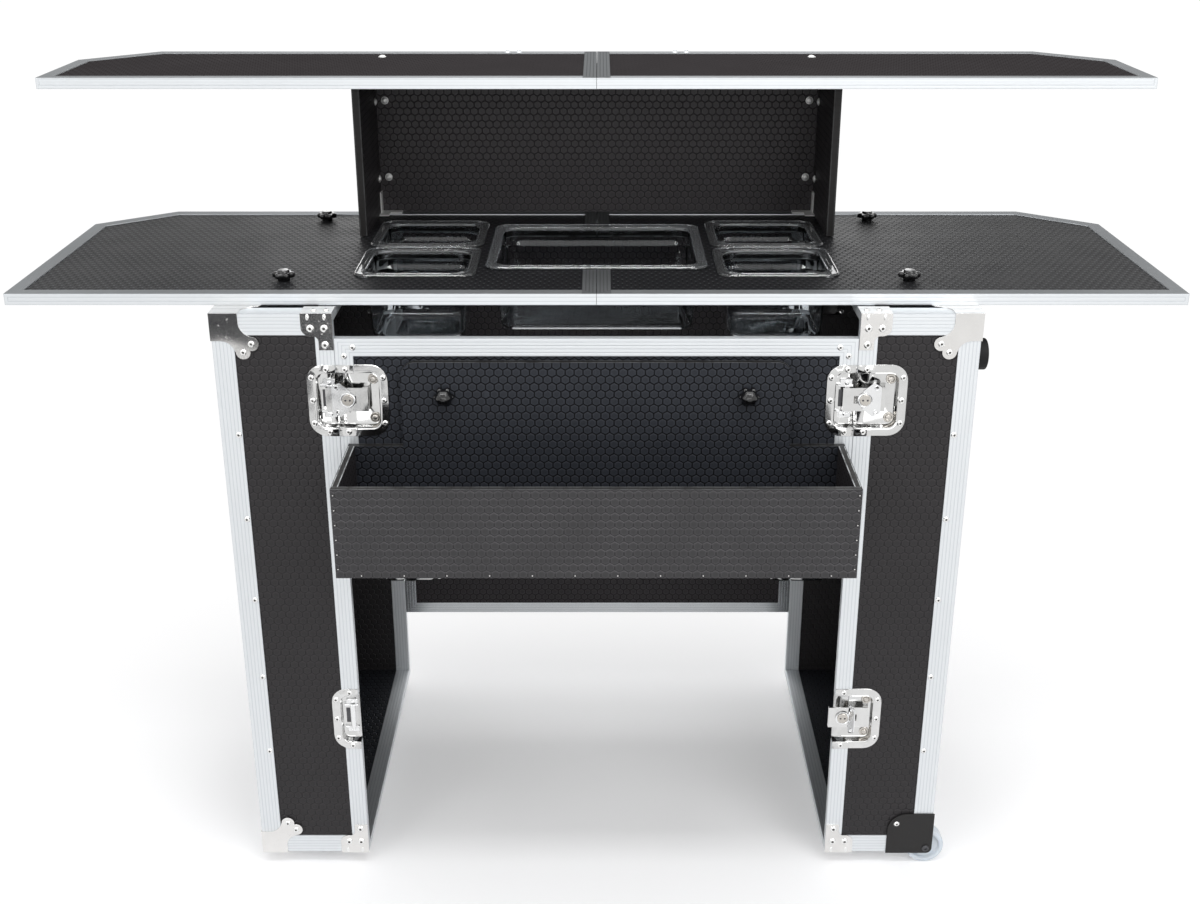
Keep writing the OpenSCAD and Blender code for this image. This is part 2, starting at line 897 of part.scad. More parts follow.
// Pressed half dish with its pocket open towards the joint line, and its rivets
module half_dish(l) {
    pocket = l - dish_rim;
    difference() {
        union() {
            facing_front(dish_t) half_round_rect(panel_gap, l, dish_h, dish_r);
            translate([0, pocket_d + dish_t, 0])
                facing_front(pocket_d + dish_t)
                    half_round_rect(panel_gap, pocket + dish_t, pocket_h + 2 * dish_t, pocket_r + dish_t);
        }
        translate([0, pocket_d, 0])
            facing_front(pocket_d + dish_t + over) half_round_rect(-over, pocket, pocket_h, pocket_r);
    }
    for (side = [-1, 1]) {
        translate([dish_rim, -dish_t, side * (dish_h - dish_rim) / 2]) front_rivet();
        translate([l - dish_rim / 2, -dish_t, side * dish_h * dish_rivet_share]) front_rivet();
    }
    translate([l - dish_rim / 2, -dish_t, 0]) front_rivet();
}

// Keeper half: dish and the bar that the hook takes hold of
module latch_keeper() {
    mirror([1, 0, 0]) half_dish(keeper_l);
    translate([-keeper_near - keeper_bar, keeper_y, -hook_h / 2])
        cube([keeper_bar, pocket_d - keeper_y, hook_h]);
}

module latch_keepers() {
    color("gainsboro")
        for (place = concat(paired, [spare_keeper])) {
            at_latch(place) latch_keeper();
        }
}

// Drive half: dish and the post that the wing turns on
module latch_drive() {
    half_dish(drive_l);
    translate([pivot_x, pocket_d, 0]) rotate([90, 0, 0]) cylinder(r = post_r, h = pocket_d - post_head_y);
    translate([pivot_x, wing_y - slack / 2, 0])
        rotate([90, 0, 0]) cylinder(r = post_head_r, h = wing_y - slack / 2 - post_head_y);
}

module latch_drives() {
    color("gainsboro")
        for (place = concat(paired, [latch_c])) {
            at_latch(place) latch_drive();
        }
}

// Outline of a wing, seen from the front, with its wide end on the left
module wing_outline() {
    polygon([
        [-wing_l * wing_wide_share, wing_h / 2],
        [-wing_l, wing_h / 2 * (1 - wing_l / wing_h * wing_wide_share)],
        [-wing_l, -wing_h / 2 * (1 - wing_l / wing_h * wing_wide_share)],
        [-wing_l * wing_wide_share, -wing_h / 2],
        [wing_l * wing_back_share, -wing_h / 2 * wing_waist_share],
        [wing_l * wing_back_share, wing_h / 2 * wing_waist_share]
    ]);
}

// Flat hub ring of a wing, with the bore that runs on the post
module wing_bore() {
    translate([0, wing_t + over, 0]) rotate([90, 0, 0]) cylinder(r = post_r + run, h = wing_t + 2 * over);
}

// Folded wing, flat in the dish, with its wide end turned to the keeper or away from it
module flat_wing(turn = 0) {
    translate([pivot_x, wing_y, 0])
        rotate([0, turn, 0]) difference() {
            translate([0, wing_t, 0]) {
                facing_front(wing_t) wing_outline();
                facing_front(wing_t) circle(r = wing_hub_r);
            }
            wing_bore();
            for (side = [-1, 1]) {
                translate([-wing_l * wing_hole_shares[0], wing_t + over, side * wing_h * wing_hole_shares[1]])
                    rotate([90, 0, 0]) cylinder(r = wing_hole_r, h = wing_t + 2 * over);
            }
        }
}

// Wing with its plate raised off the dish, as a hand turns it
module raised_wing(turn = 0) {
    translate([pivot_x, wing_y, 0])
        rotate([0, turn, 0]) difference() {
            union() {
                translate([0, wing_t, 0]) facing_front(wing_t) circle(r = wing_hub_r);
                translate([-post_head_r - 2 * slack, wing_t, 0])
                    rotate([0, 0, wing_lift_deg])
                        translate([-wing_l, -wing_t, -wing_h / 2]) cube([wing_l, wing_t, wing_h]);
            }
            wing_bore();
        }
}

// Hook plate that slides on the post and reaches over the keeper's bar
module latch_hook() {
    difference() {
        union() {
            translate([-hook_reach, hook_y, -hook_h / 2]) cube([hook_reach + hook_tail, hook_t, hook_h]);
            translate([-hook_reach, hook_y, -hook_h / 2]) cube([hook_tip_t, hook_drop, hook_h]);
            translate([hook_tail - hook_fold_r, hook_y + hook_fold_r, -hook_h / 2])
                cylinder(r = hook_fold_r, h = hook_h);
        }
        translate([pivot_x - post_r - hook_parked - slack, hook_y - over, -post_r - slack])
            cube([2 * (post_r + slack) + hook_parked + hook_throw, hook_t + 2 * over, 2 * (post_r + slack)]);
    }
}

module latch_wing_a() {
    color("silver") at_latch(latch_a) flat_wing();
}

module latch_wing_b() {
    color("silver") at_latch(latch_b) flat_wing(turn = 180);
}

module latch_wing_c() {
    color("silver") at_latch(latch_c) raised_wing(turn = 180);
}

module latch_wing_d() {
    color("silver") at_latch(latch_d) flat_wing();
}

module latch_wing_e() {
    color("silver") at_latch(latch_e) flat_wing();
}

module latch_wing_f() {
    color("silver") at_latch(latch_f) flat_wing();
}

module latch_wing_g() {
    color("silver") at_latch(latch_g) flat_wing();
}

module latch_hook_a() {
    color("silver") at_latch(latch_a) latch_hook();
}

module latch_hook_b() {
    color("silver") at_latch(latch_b) latch_hook();
}

module latch_hook_c() {
    color("silver") at_latch(latch_c) translate([hook_parked, 0, 0]) latch_hook();
}

module latch_hook_d() {
    color("silver") at_latch(latch_d) latch_hook();
}

module latch_hook_e() {
    color("silver") at_latch(latch_e) latch_hook();
}

module latch_hook_f() {
    color("silver") at_latch(latch_f) latch_hook();
}

module latch_hook_g() {
    color("silver") at_latch(latch_g) latch_hook();
}

module knob_inserts() {
    color("gray")
        difference() {
            knob_holes(insert_r, case_h - edge_t - insert_h, case_h - edge_t);
            knob_holes(stud_r + run, case_h - edge_t - insert_h - over, case_h);
        }
}

// Corner points of the right half of a counter, drawn in by a margin
function half_outline(m, back, front, clip_x, clip_y) =
    let (diagonal = norm([clip_x, clip_y]))
    [
        [seam_gap / 2 + m, front + m],
        [counter_half - m, front + m],
        [counter_half - m, back - clip_y - m * (diagonal - clip_y) / clip_x],
        [counter_half - clip_x - m * (diagonal - clip_x) / clip_y, back - m],
        [seam_gap / 2 + m, back - m]
    ];

function lower_outline(m) =
    half_outline(m, counter_back, counter_front, counter_clip_x, counter_clip_y);

function upper_outline(m) =
    half_outline(m, upper_back, upper_front, upper_clip_x, upper_clip_y);

// Board of half a counter, held inside the trim
module half_board(outline) {
    translate([0, 0, trim_t]) linear_extrude(counter_t - 2 * trim_t) polygon(outline);
}

// Channel trim round half a counter
module half_trim(outer, held, open) {
    difference() {
        linear_extrude(counter_t) polygon(outer);
        half_board(held);
        translate([0, 0, -over]) linear_extrude(counter_t + 2 * over) polygon(open);
    }
}

// Cut-outs of the five pans through the lower counter
module pan_spaces() {
    translate([0, 0, seat_z - over]) {
        translate([0, large_pan_y])
            linear_extrude(counter_t + 2 * over) pan_outline(large_pan_l, large_pan_d, pan_gap);
        both_sides()
            for (y = pan_rows) {
                translate([small_pan_x, y])
                    linear_extrude(counter_t + 2 * over) pan_outline(small_pan_l, small_pan_d, pan_gap);
            }
    }
}

// Right half of the lower counter's board
module counter_half_board() {
    difference() {
        translate([0, 0, seat_z]) half_board(lower_outline(trim_t));
        pan_spaces();
        knob_holes(stud_r + hole_slack, seat_z - over, counter_top + over);
    }
}

module counter_left() {
    color("dimgray") mirror([1, 0, 0]) counter_half_board();
}

module counter_right() {
    color("dimgray") counter_half_board();
}

module counter_trims() {
    color("silver")
        both_sides()
            difference() {
                translate([0, 0, seat_z])
                    half_trim(lower_outline(0), lower_outline(trim_t), lower_outline(trim_w));
                pan_spaces();
            }
}

// Outline of a pan's body, widened by a gap
module pan_outline(l, d, gap) {
    rounded_rect(l - 2 * (pan_rim - gap), d - 2 * (pan_rim - gap), pan_r + gap);
}

// Pan with a flat rim; the rim's underside is at zero
module pan(l, d) {
    difference() {
        union() {
            linear_extrude(pan_rim_t) rounded_rect(l, d, pan_r * rim_r_share);
            translate([0, 0, -pan_body_h]) linear_extrude(pan_body_h) pan_outline(l, d, 0);
        }
        translate([0, 0, pan_wall - pan_body_h])
            linear_extrude(pan_body_h + pan_rim_t + over) pan_outline(l, d, -pan_wall);
    }
}

// Small pan of the right half, in the front or the rear row
module small_pan(row) {
    translate([small_pan_x, pan_rows[row], board_top]) pan(small_pan_l, small_pan_d);
}

module pan_middle() {
    color("lightslategray")
        translate([0, large_pan_y, counter_top]) pan(large_pan_l, large_pan_d);
}

module pan_left_front() {
    color("lightslategray") mirror([1, 0, 0]) small_pan(0);
}

module pan_left_rear() {
    color("lightslategray") mirror([1, 0, 0]) small_pan(1);
}

module pan_right_front() {
    color("lightslategray") small_pan(0);
}

module pan_right_rear() {
    color("lightslategray") small_pan(1);
}

// Lobed head of a knob on its washer
module knob_head(r, h) {
    cylinder(r = r * knob_core_share, h = washer_h);
    translate([0, 0, washer_h])
        linear_extrude(h - washer_h) {
            circle(r = r * knob_core_share);
            for (i = [1:knob_lobes]) {
                rotate(i * 360 / knob_lobes)
                    translate([r * (1 - knob_lobe_share), 0]) circle(r = r * knob_lobe_share);
            }
        }
}

// Star knob with its stud through the counter
module star_knob(y) {
    translate([knob_x, y, board_top]) {
        knob_head(knob_r, knob_h);
        translate([0, 0, trim_t - stud_reach]) cylinder(r = stud_r, h = stud_reach - trim_t);
    }
}

module knob_left_front() {
    color("black") mirror([1, 0, 0]) star_knob(knob_front_y);
}

module knob_left_rear() {
    color("black") mirror([1, 0, 0]) star_knob(knob_rear_y);
}

module knob_right_front() {
    color("black") star_knob(knob_front_y);
}

module knob_right_rear() {
    color("black") star_knob(knob_rear_y);
}

module riser_back() {
    color("dimgray")
        translate([-riser_half, riser_back_y, seat_z]) cube([riser_w, riser_t, upper_low - seat_z]);
}

module riser_sides() {
    color("dimgray")
        both_sides()
            translate([riser_half - riser_t, riser_back_y - riser_d, counter_top])
                cube([riser_t, riser_d, riser_h]);
}

// Three-leg bracket in the riser's lower rear corner, on the right
module riser_bracket() {
    translate([riser_half - riser_t, riser_back_y, counter_top]) {
        translate([-bracket_l, -bracket_w, 0]) cube([bracket_l, bracket_w, bracket_t]);
        translate([-bracket_w, -bracket_l, 0]) cube([bracket_w, bracket_l, bracket_t]);
        translate([-bracket_t, -bracket_w, 0]) cube([bracket_t, bracket_w, bracket_l]);
    }
}

module riser_brackets() {
    color("gainsboro")
        both_sides() {
            riser_bracket();
            for (share = bolt_shares) {
                translate([riser_half - riser_t - bolt_in, riser_back_y, counter_top + riser_h * share])
                    rotate([90, 0, 0]) dome();
                translate([riser_half - riser_t, riser_back_y - bolt_in, counter_top + riser_h * share])
                    rotate([0, -90, 0]) dome();
            }
        }
}

module upper_boards() {
    color("dimgray")
        both_sides()
            translate([0, 0, upper_low]) half_board(upper_outline(trim_t));
}

module upper_trims() {
    color("silver")
        both_sides() {
            translate([0, 0, upper_low])
                half_trim(upper_outline(0), upper_outline(trim_t), upper_outline(trim_w));
            for (i = [1, 2]) {
                translate([riser_half * fastener_shares[i], upper_back - fastener_in, upper_top]) dome();
            }
            translate([riser_half * fastener_shares[0], fastener_side_y, upper_top - trim_t]) dome();
        }
}

module rail_back() {
    color("dimgray")
        difference() {
            facing_front(rail_t) {
                translate([-rail_w / 2, rail_top_z - rail_h]) square([rail_w, rail_h]);
                translate([-tab_w / 2, rail_top_z - tab_r]) square([tab_w, tab_h]);
                translate([tab_r - tab_w / 2, rail_top_z]) square([tab_w - 2 * tab_r, tab_h]);
                for (side = [-1, 1]) {
                    translate([side * (tab_w / 2 - tab_r), rail_top_z + tab_h - tab_r]) circle(r = tab_r);
                }
            }
            rail_stud_holes(stud_r + hole_slack, -rail_t - over, over);
        }
}

// Carries a tray board to the rail's lower front edge
module at_tray() {
    translate([0, -rail_out, rail_top_z - rail_h]) children();
}

module rail_front() {
    color("dimgray") at_tray() translate([-rail_w / 2, 0, 0]) cube([rail_w, rail_t, rail_h]);
}

module rail_ends() {
    color("dimgray")
        at_tray() both_sides()
            translate([rail_w / 2 - rail_t, rail_t, 0]) cube([rail_t, rail_out - 2 * rail_t, rail_h]);
}

module rail_base() {
    color("dimgray")
        at_tray()
            translate([rail_t - rail_w / 2, rail_t, 0])
                cube([rail_w - 2 * rail_t, rail_out - 2 * rail_t, rail_t]);
}

// Rail knob with its stud through the tab and the front panel
module rail_knob() {
    translate([rail_knob_x, -rail_t, rail_top_z + rail_knob_up])
        rotate([90, 0, 0]) {
            knob_head(rail_knob_r, rail_knob_l - rail_dome_h);
            translate([0, 0, rail_knob_l - rail_dome_h])
                cylinder(
                    r1 = rail_knob_r * knob_core_share,
                    r2 = rail_knob_r * dome_top_share,
                    h = rail_dome_h
                );
            translate([0, 0, -rail_stud_l]) cylinder(r = stud_r, h = rail_stud_l);
        }
}

module rail_knob_left() {
    color("black") mirror([1, 0, 0]) rail_knob();
}

module rail_knob_right() {
    color("black") rail_knob();
}

stand() left_leg_edging();
stand() right_leg_edging();
stand() leg_face_boards();
stand() leg_end_boards();
stand() leg_caps();
stand() rear_panel();
stand() rear_panel_edging();
stand() front_panel();
stand() front_panel_edging();
stand() steel_corners();
stand() corner_braces();
stand() case_rivets();
stand() castor_housings();
stand() castor_axles();
stand() castor_wheel_front();
stand() castor_wheel_rear();
stand() end_bumpers();
stand() floor_feet();
stand() handle_dish();
stand() handle_grip();
stand() latch_keepers();
stand() latch_drives();
stand() latch_wing_a();
stand() latch_wing_b();
stand() latch_wing_c();
stand() latch_wing_d();
stand() latch_wing_e();
stand() latch_wing_f();
stand() latch_wing_g();
stand() latch_hook_a();
stand() latch_hook_b();
stand() latch_hook_c();
stand() latch_hook_d();
stand() latch_hook_e();
stand() latch_hook_f();
stand() latch_hook_g();
stand() knob_inserts();
stand() counter_left();
stand() counter_right();
stand() counter_trims();
stand() pan_middle();
stand() pan_left_front();
stand() pan_left_rear();
stand() pan_right_front();
stand() pan_right_rear();
stand() knob_left_front();
stand() knob_left_rear();
stand() knob_right_front();
stand() knob_right_rear();
stand() riser_back();
stand() riser_sides();
stand() riser_brackets();
stand() upper_boards();
stand() upper_trims();
stand() rail_back();
stand() rail_front();
stand() rail_ends();
stand() rail_base();
stand() rail_knob_left();
stand() rail_knob_right();
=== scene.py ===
import json
import math
from functools import partial

import bmesh
import bpy
from mathutils import Matrix, Vector


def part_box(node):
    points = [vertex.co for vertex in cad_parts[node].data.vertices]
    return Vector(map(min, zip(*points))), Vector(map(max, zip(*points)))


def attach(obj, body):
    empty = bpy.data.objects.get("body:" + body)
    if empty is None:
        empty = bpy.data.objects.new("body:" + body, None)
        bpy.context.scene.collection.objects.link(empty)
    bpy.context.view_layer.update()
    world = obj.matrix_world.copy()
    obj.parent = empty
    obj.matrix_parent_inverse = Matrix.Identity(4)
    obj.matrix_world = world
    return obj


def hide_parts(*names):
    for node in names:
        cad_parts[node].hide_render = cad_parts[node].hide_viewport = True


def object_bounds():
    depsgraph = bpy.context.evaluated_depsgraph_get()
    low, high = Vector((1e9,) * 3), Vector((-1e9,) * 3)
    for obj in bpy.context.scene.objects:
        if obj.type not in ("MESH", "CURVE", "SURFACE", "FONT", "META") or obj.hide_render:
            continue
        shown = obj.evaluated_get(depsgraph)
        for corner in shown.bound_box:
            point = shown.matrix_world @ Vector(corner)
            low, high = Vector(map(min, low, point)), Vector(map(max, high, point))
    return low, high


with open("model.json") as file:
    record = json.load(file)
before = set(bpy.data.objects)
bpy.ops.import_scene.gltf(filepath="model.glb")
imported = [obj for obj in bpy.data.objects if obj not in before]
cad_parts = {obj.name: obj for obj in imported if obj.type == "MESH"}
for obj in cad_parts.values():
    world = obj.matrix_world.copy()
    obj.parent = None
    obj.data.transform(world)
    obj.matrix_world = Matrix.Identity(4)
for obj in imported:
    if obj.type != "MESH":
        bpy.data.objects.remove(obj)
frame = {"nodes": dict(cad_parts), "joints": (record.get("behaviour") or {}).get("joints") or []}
cadBox = [list(corner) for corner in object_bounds()]
nodes = frame["nodes"]
mm = 0.001
turn = 2 * math.pi
print("frame loaded:", len(nodes), "nodes")


def addObject(name, data):
    made = bpy.data.objects.new(name, data)
    bpy.context.scene.collection.objects.link(made)
    return made


# camera fitted to the photo
cameraView = {
    "lens": 44.715,
    "sensor": 36,
    "place": (0.0049, -2.1415, 1.4946),
    "tilt": 67.796,  # degrees up from straight down
}
camera = addObject("barCamera", bpy.data.cameras.new("barCamera"))
camera.data.lens = cameraView["lens"]
camera.data.sensor_width = cameraView["sensor"]
camera.location = cameraView["place"]
camera.rotation_euler = (math.radians(cameraView["tilt"]), 0, 0)
bpy.context.scene.camera = camera
bpy.context.scene.view_settings.view_transform = "Standard"
print("camera placed")


# short hands for shader nodes; nodes and sockets know the tree that they are in
def feed(node, values):
    for key, value in values.items():
        socket = node.inputs[key]
        if isinstance(value, bpy.types.NodeSocket):
            node.id_data.links.new(value, socket)
        else:
            socket.default_value = (*value, 1) if socket.type == "RGBA" else value


def addNode(tree, kind, values, **settings):
    node = tree.nodes.new("ShaderNode" + kind)
    for name, value in settings.items():
        setattr(node, name, value)
    feed(node, values)
    return node.outputs


def calc(operation, *values):
    tree = next(value.id_data for value in values if isinstance(value, bpy.types.NodeSocket))
    return addNode(tree, "Math", dict(enumerate(values)), operation=operation)[0]


times = partial(calc, "MULTIPLY")
minus = partial(calc, "SUBTRACT")
timesPlus = partial(calc, "MULTIPLY_ADD")


def least(values):
    found = values[0]
    for value in values[1:]:
        found = calc("MINIMUM", found, value)
    return found


def spread(value, low, high, outLow=0.0, outHigh=1.0):
    values = dict(enumerate((value, low, high, outLow, outHigh)))
    return addNode(value.id_data, "MapRange", values, interpolation_type="SMOOTHSTEP")[0]


def tint(share, first, second):
    return addNode(share.id_data, "Mix", {0: share, 6: first, 7: second}, data_type="RGBA")[2]


def grain(coords, scale, detail, stretch=None):
    place = coords["Object"]
    tree = place.id_data
    if stretch:
        place = addNode(tree, "Mapping", {"Vector": place, "Scale": stretch})[0]
    return addNode(tree, "TexNoise", {"Vector": place, "Scale": scale, "Detail": detail})[0]


def relief(shader, height, depth, strength=1.0):
    values = {"Strength": strength, "Distance": depth, "Height": height}
    feed(shader, {"Normal": addNode(shader.id_data, "Bump", values)[0]})


def split(vector):
    return list(addNode(vector.id_data, "SeparateXYZ", {0: vector}))


def squareTo(side):
    # 1 on faces that stand square to the axis
    return calc("GREATER_THAN", calc("ABSOLUTE", side), 0.7)


def fromSide(place, low, high, axis):
    # distance from the nearer side of the box
    return calc("MINIMUM", minus(place[axis], low[axis]), minus(high[axis], place[axis]))


def diagonal(sides):
    return calc("SQRT", calc("ADD", *[calc("POWER", side, 2.0) for side in sides]))


def uneven(noise, share, roughness):
    # roughness that a noise moves up and down
    return timesPlus(noise, share, roughness - share / 2)


def scaled(tone, share):
    return tuple(share * c for c in tone)


def startMaterial(name, sockets):
    material = bpy.data.materials.new(name)
    material.use_nodes = True
    shader = material.node_tree.nodes["Principled BSDF"]
    feed(shader, sockets)
    return material, shader, addNode(material.node_tree, "TexCoord", {})


# phenolic board with pressed hexagons on its faces, and pale lines on its edges that are partly ply layers and
# partly painted highlight
hexBoard = {
    "pitch": 12.2 * mm,  # hexagon, flat to flat
    "groove": (0.1 * mm, 1.5 * mm),
    "relief": 0.6 * mm,
    "ring": (1.5 * mm, 3.4 * mm),  # faint lighter ring inside each hexagon
    "rise": (0.8 * mm, 3.0 * mm),  # where the painted highlight strokes begin above the middle
    "spot": (0.7 * mm, 1.7 * mm),  # soft edge of the painted highlight dots and strokes
    "line": (0.5 * mm, 0.9 * mm, 1.7 * mm, 2.2 * mm),  # pale line under each face on the edges, partly the ply's veneer and partly painted highlight along the arrises
    "edgeDark": (0.010, 0.009, 0.009),
    "edgeLight": (0.42, 0.44, 0.45),
    # scale and detail of the noises
    "cloud": (14, 5), "speck": (900, 2), "scuff": (60, 8), "wear": (45, 6),
    # where a noise begins and ends to show, its least and most share
    "scuffShow": (0.66, 0.78, 0, 0.35), "highlightDotShow": (0.3, 0.6, 0.5, 1.0), "wearShow": (0.34, 0.56, 0.25, 1.0),
    "highlightStrokeShow": (0.35, 0.65), "highlightStrokeLeast": 0.4, "ringShow": 0.6, "speckRelief": 0.06,
    # shares of the pad's tone
    "dark": 0.8, "light": 1.2, "ringTone": 1.6, "scuffTone": 2.2, "highlightStrokeTone": 3.0,
    "highlightDotTint": (1, 1.04, 1.1),
    "gloss": (0.38, 0.16, 0.12),  # roughness, more where clouded, more in the grooves
    # thickness in mm, shine, tone of the painted highlight dots, share of the painted highlight strokes, share
    # of the pale edge lines, partly painted highlight
    "look": {"thick": 9, "shine": 0.3, "highlightDots": 0.0, "highlightStrokes": 0.0, "edge": 0.3},
}


def hexPly(name, axis, pad, groove, low, high, look):
    look = {**hexBoard["look"], **look}
    material, shader, coords = startMaterial(name, {"Specular IOR Level": look["shine"]})
    place = split(coords["Object"])
    facing = split(coords["Normal"])
    across, along = [place[i] for i in range(3) if i != axis]
    pitch = hexBoard["pitch"]
    rise = pitch * math.sqrt(3)

    def noise(kind):
        return grain(coords, *hexBoard[kind])

    def offset(value, shift, size):
        return minus(calc("FLOORED_MODULO", calc("ADD", value, shift * size), size), size / 2)

    def fromMiddle(shift):
        side, up = offset(across, shift, pitch), offset(along, shift, rise)
        return calc("ABSOLUTE", side), calc("ABSOLUTE", up), up

    def hexReach(cell):
        slant = timesPlus(cell[1], math.sqrt(3) / 2, times(cell[0], 0.5))
        return calc("MAXIMUM", cell[0], slant)

    cells = [fromMiddle(0), fromMiddle(0.5)]
    reaches = [hexReach(cell) for cell in cells]
    rim = minus(pitch / 2, least(reaches))
    raised = spread(rim, *hexBoard["groove"])
    cloud = noise("cloud")
    padTone = tint(cloud, scaled(pad, hexBoard["dark"]), scaled(pad, hexBoard["light"]))
    ringBand = times(minus(raised, spread(rim, *hexBoard["ring"])), hexBoard["ringShow"])
    padTone = tint(ringBand, padTone, scaled(pad, hexBoard["ringTone"]))
    scuff = spread(noise("scuff"), *hexBoard["scuffShow"])
    padTone = tint(scuff, padTone, scaled(pad, hexBoard["scuffTone"]))
    # the grooves' darker tone is painted shade
    faceTone = tint(raised, groove, padTone)
    if look["highlightDots"]:
        # painted highlight: pale dots in the middle of the hexagons
        highlightDot = spread(least([diagonal(cell[:2]) for cell in cells]), *hexBoard["spot"], 1.0, 0.0)
        highlightDot = times(highlightDot, spread(cloud, *hexBoard["highlightDotShow"]))
        faceTone = tint(highlightDot, faceTone, scaled(hexBoard["highlightDotTint"], look["highlightDots"]))
    if look["highlightStrokes"]:
        # painted highlight: the upper edges of each hexagon are made lighter where light from above would catch
        # them
        share = look["highlightStrokes"]
        nearer = calc("LESS_THAN", *reaches)
        up = timesPlus(nearer, minus(cells[0][2], cells[1][2]), cells[1][2])
        highlightStroke = times(spread(up, *hexBoard["rise"]), spread(rim, *hexBoard["spot"], 1.0, 0.0))
        shown = spread(cloud, *hexBoard["highlightStrokeShow"], hexBoard["highlightStrokeLeast"] * share, share)
        highlightStroke = times(highlightStroke, shown)
        faceTone = tint(highlightStroke, faceTone, scaled(pad, hexBoard["highlightStrokeTone"]))
    # a pale line under each face where the surface turns off the board's own axis, partly the ply's veneer and
    # partly painted highlight along the arrises
    deep = fromSide(place, low, high, axis)
    deep = calc("MINIMUM", deep, calc("ABSOLUTE", minus(look["thick"] * mm, deep)))
    line = minus(spread(deep, *hexBoard["line"][:2]), spread(deep, *hexBoard["line"][2:]))
    wornEdgeAndGlint = times(line, spread(noise("wear"), *hexBoard["wearShow"]))
    edgeTone = tint(wornEdgeAndGlint, hexBoard["edgeDark"], scaled(hexBoard["edgeLight"], look["edge"]))
    onFace = squareTo(facing[axis])
    plain, clouded, grooved = hexBoard["gloss"]
    gloss = timesPlus(cloud, clouded, plain)
    gloss = timesPlus(minus(1.0, raised), grooved, gloss)
    feed(shader, {"Base Color": tint(onFace, edgeTone, faceTone), "Roughness": gloss})
    height = timesPlus(noise("speck"), hexBoard["speckRelief"], times(raised, onFace))
    relief(shader, height, hexBoard["relief"])
    return material


# extruded aluminium with fine ribs that follow the edges and mitre at the corners
ribbedEdging = {
    "pitch": 5.0 * mm,
    "crest": 0.22,  # share of the pitch
    "relief": 0.2 * mm,
    "tone": (0.75, 0.775, 0.795),
    "shade": (0.60, 0.625, 0.65),
    "cloud": (9, 4), "cloudTone": 0.94, "cloudGloss": 0.06,
    "lines": 3200, "lineGloss": 0.14,
    "seamHalf": 20.4 * mm,
    "trimWidth": 12 * mm,
    "top": 0.5, "cutEndShade": 0.03, "seamGroove": 0.6,  # shares of the tone; the darker tops and the near-black cut ends are painted shade
}


def ribbedAluminium(name, low, high, clip=None, seam=None, roughness=0.44, strength=0.7):
    look = ribbedEdging
    sockets = {"Metallic": 1.0, "Specular Tint": (0.22, 0.22, 0.22)} if clip else {"Metallic": 0.8}
    material, shader, coords = startMaterial(name, sockets)
    place = split(coords["Object"])
    flat = [squareTo(side) for side in split(coords["Normal"])]
    beyond = 9.0  # takes a side out of the search for the nearest edge
    reach = [timesPlus(flat[i], beyond, fromSide(place, low, high, i)) for i in range(3)]
    if clip:
        # the clipped rear corners and the seam between the halves
        upright = minus(1.0, flat[2])
        tall = times(upright, beyond)
        side = calc("ABSOLUTE", place[0])
        slope = math.hypot(*clip)
        corner = times(minus(high[0], side), clip[1] / slope)
        corner = timesPlus(minus(high[1], place[1]), clip[0] / slope, corner)
        corner = minus(corner, clip[0] * clip[1] / slope)
        reach += [calc("ADD", corner, tall), calc("ADD", side, tall)]
    inward = least(reach)
    rib = calc("PINGPONG", inward, look["pitch"] / 2)
    crest = spread(rib, 0.0, look["pitch"] * look["crest"])
    values = {"Scale": look["lines"], "W": inward}
    lines = addNode(inward.id_data, "TexNoise", values, noise_dimensions="1D")[0]
    cloud = grain(coords, *look["cloud"])
    bright = look["tone"]
    face = tint(cloud, scaled(bright, look["cloudTone"]), bright)
    face = tint(crest, look["shade"], face)
    if clip:
        # painted shade on the tops and on the cut ends beside the pans, and darker strips at the seam
        face = tint(flat[2], face, scaled(bright, look["top"]))
        atSeam = calc("LESS_THAN", side, look["seamHalf"])
        seamRib = tint(crest, scaled(bright, look["seamGroove"] * seam), scaled(bright, seam))
        face = tint(times(atSeam, flat[2]), face, seamRib)
        fromMiddle = calc("ABSOLUTE", minus(place[1], (low[1] + high[1]) / 2))
        behind = calc("LESS_THAN", fromMiddle, (high[1] - low[1]) / 2 - look["trimWidth"])
        cutEndShade = times(times(atSeam, behind), upright)
        face = tint(cutEndShade, face, scaled(bright, look["cutEndShade"]))
    gloss = uneven(lines, look["lineGloss"], roughness)
    gloss = timesPlus(cloud, look["cloudGloss"], gloss)
    feed(shader, {"Base Color": face, "Roughness": gloss})
    relief(shader, crest, look["relief"], strength)
    return material


# pressed and plated sheet
platedLook = {
    "cloudDetail": 3, "fine": (700, 3), "fineGloss": 0.12, "fineRelief": 0.003,
    "spots": (190, 6), "spotShow": (0.62, 0.72), "spotTone": 0.35, "spotGloss": 0.15,
}


def platedSheet(name, tone, shade, roughness, wave, waveScale=26, metallic=1.0):
    look = platedLook
    material, shader, coords = startMaterial(name, {"Metallic": metallic})
    cloud = grain(coords, waveScale, look["cloudDetail"])
    fine = grain(coords, *look["fine"])
    spots = spread(grain(coords, *look["spots"]), *look["spotShow"])
    face = tint(times(spots, look["spotTone"]), tint(cloud, shade, tone), shade)
    gloss = timesPlus(spots, look["spotGloss"], uneven(fine, look["fineGloss"], roughness))
    feed(shader, {"Base Color": face, "Roughness": gloss})
    height = timesPlus(fine, look["fineRelief"], grain(coords, waveScale, 0))
    relief(shader, height, wave)
    return material


# moulded or coated black parts, and the pale wheels
mouldedLook = {
    "cloud": (30, 4), "cloudTone": 0.82, "fineDetail": 2, "fineGloss": 0.1,
    "dust": (120, 7), "dustShow": (0.6, 0.75, 0, 0.25), "dustGloss": 0.4,
    "dustTone": (1.6, 0.012, 0.9),  # share of the tone, what is added to it, its limit
}


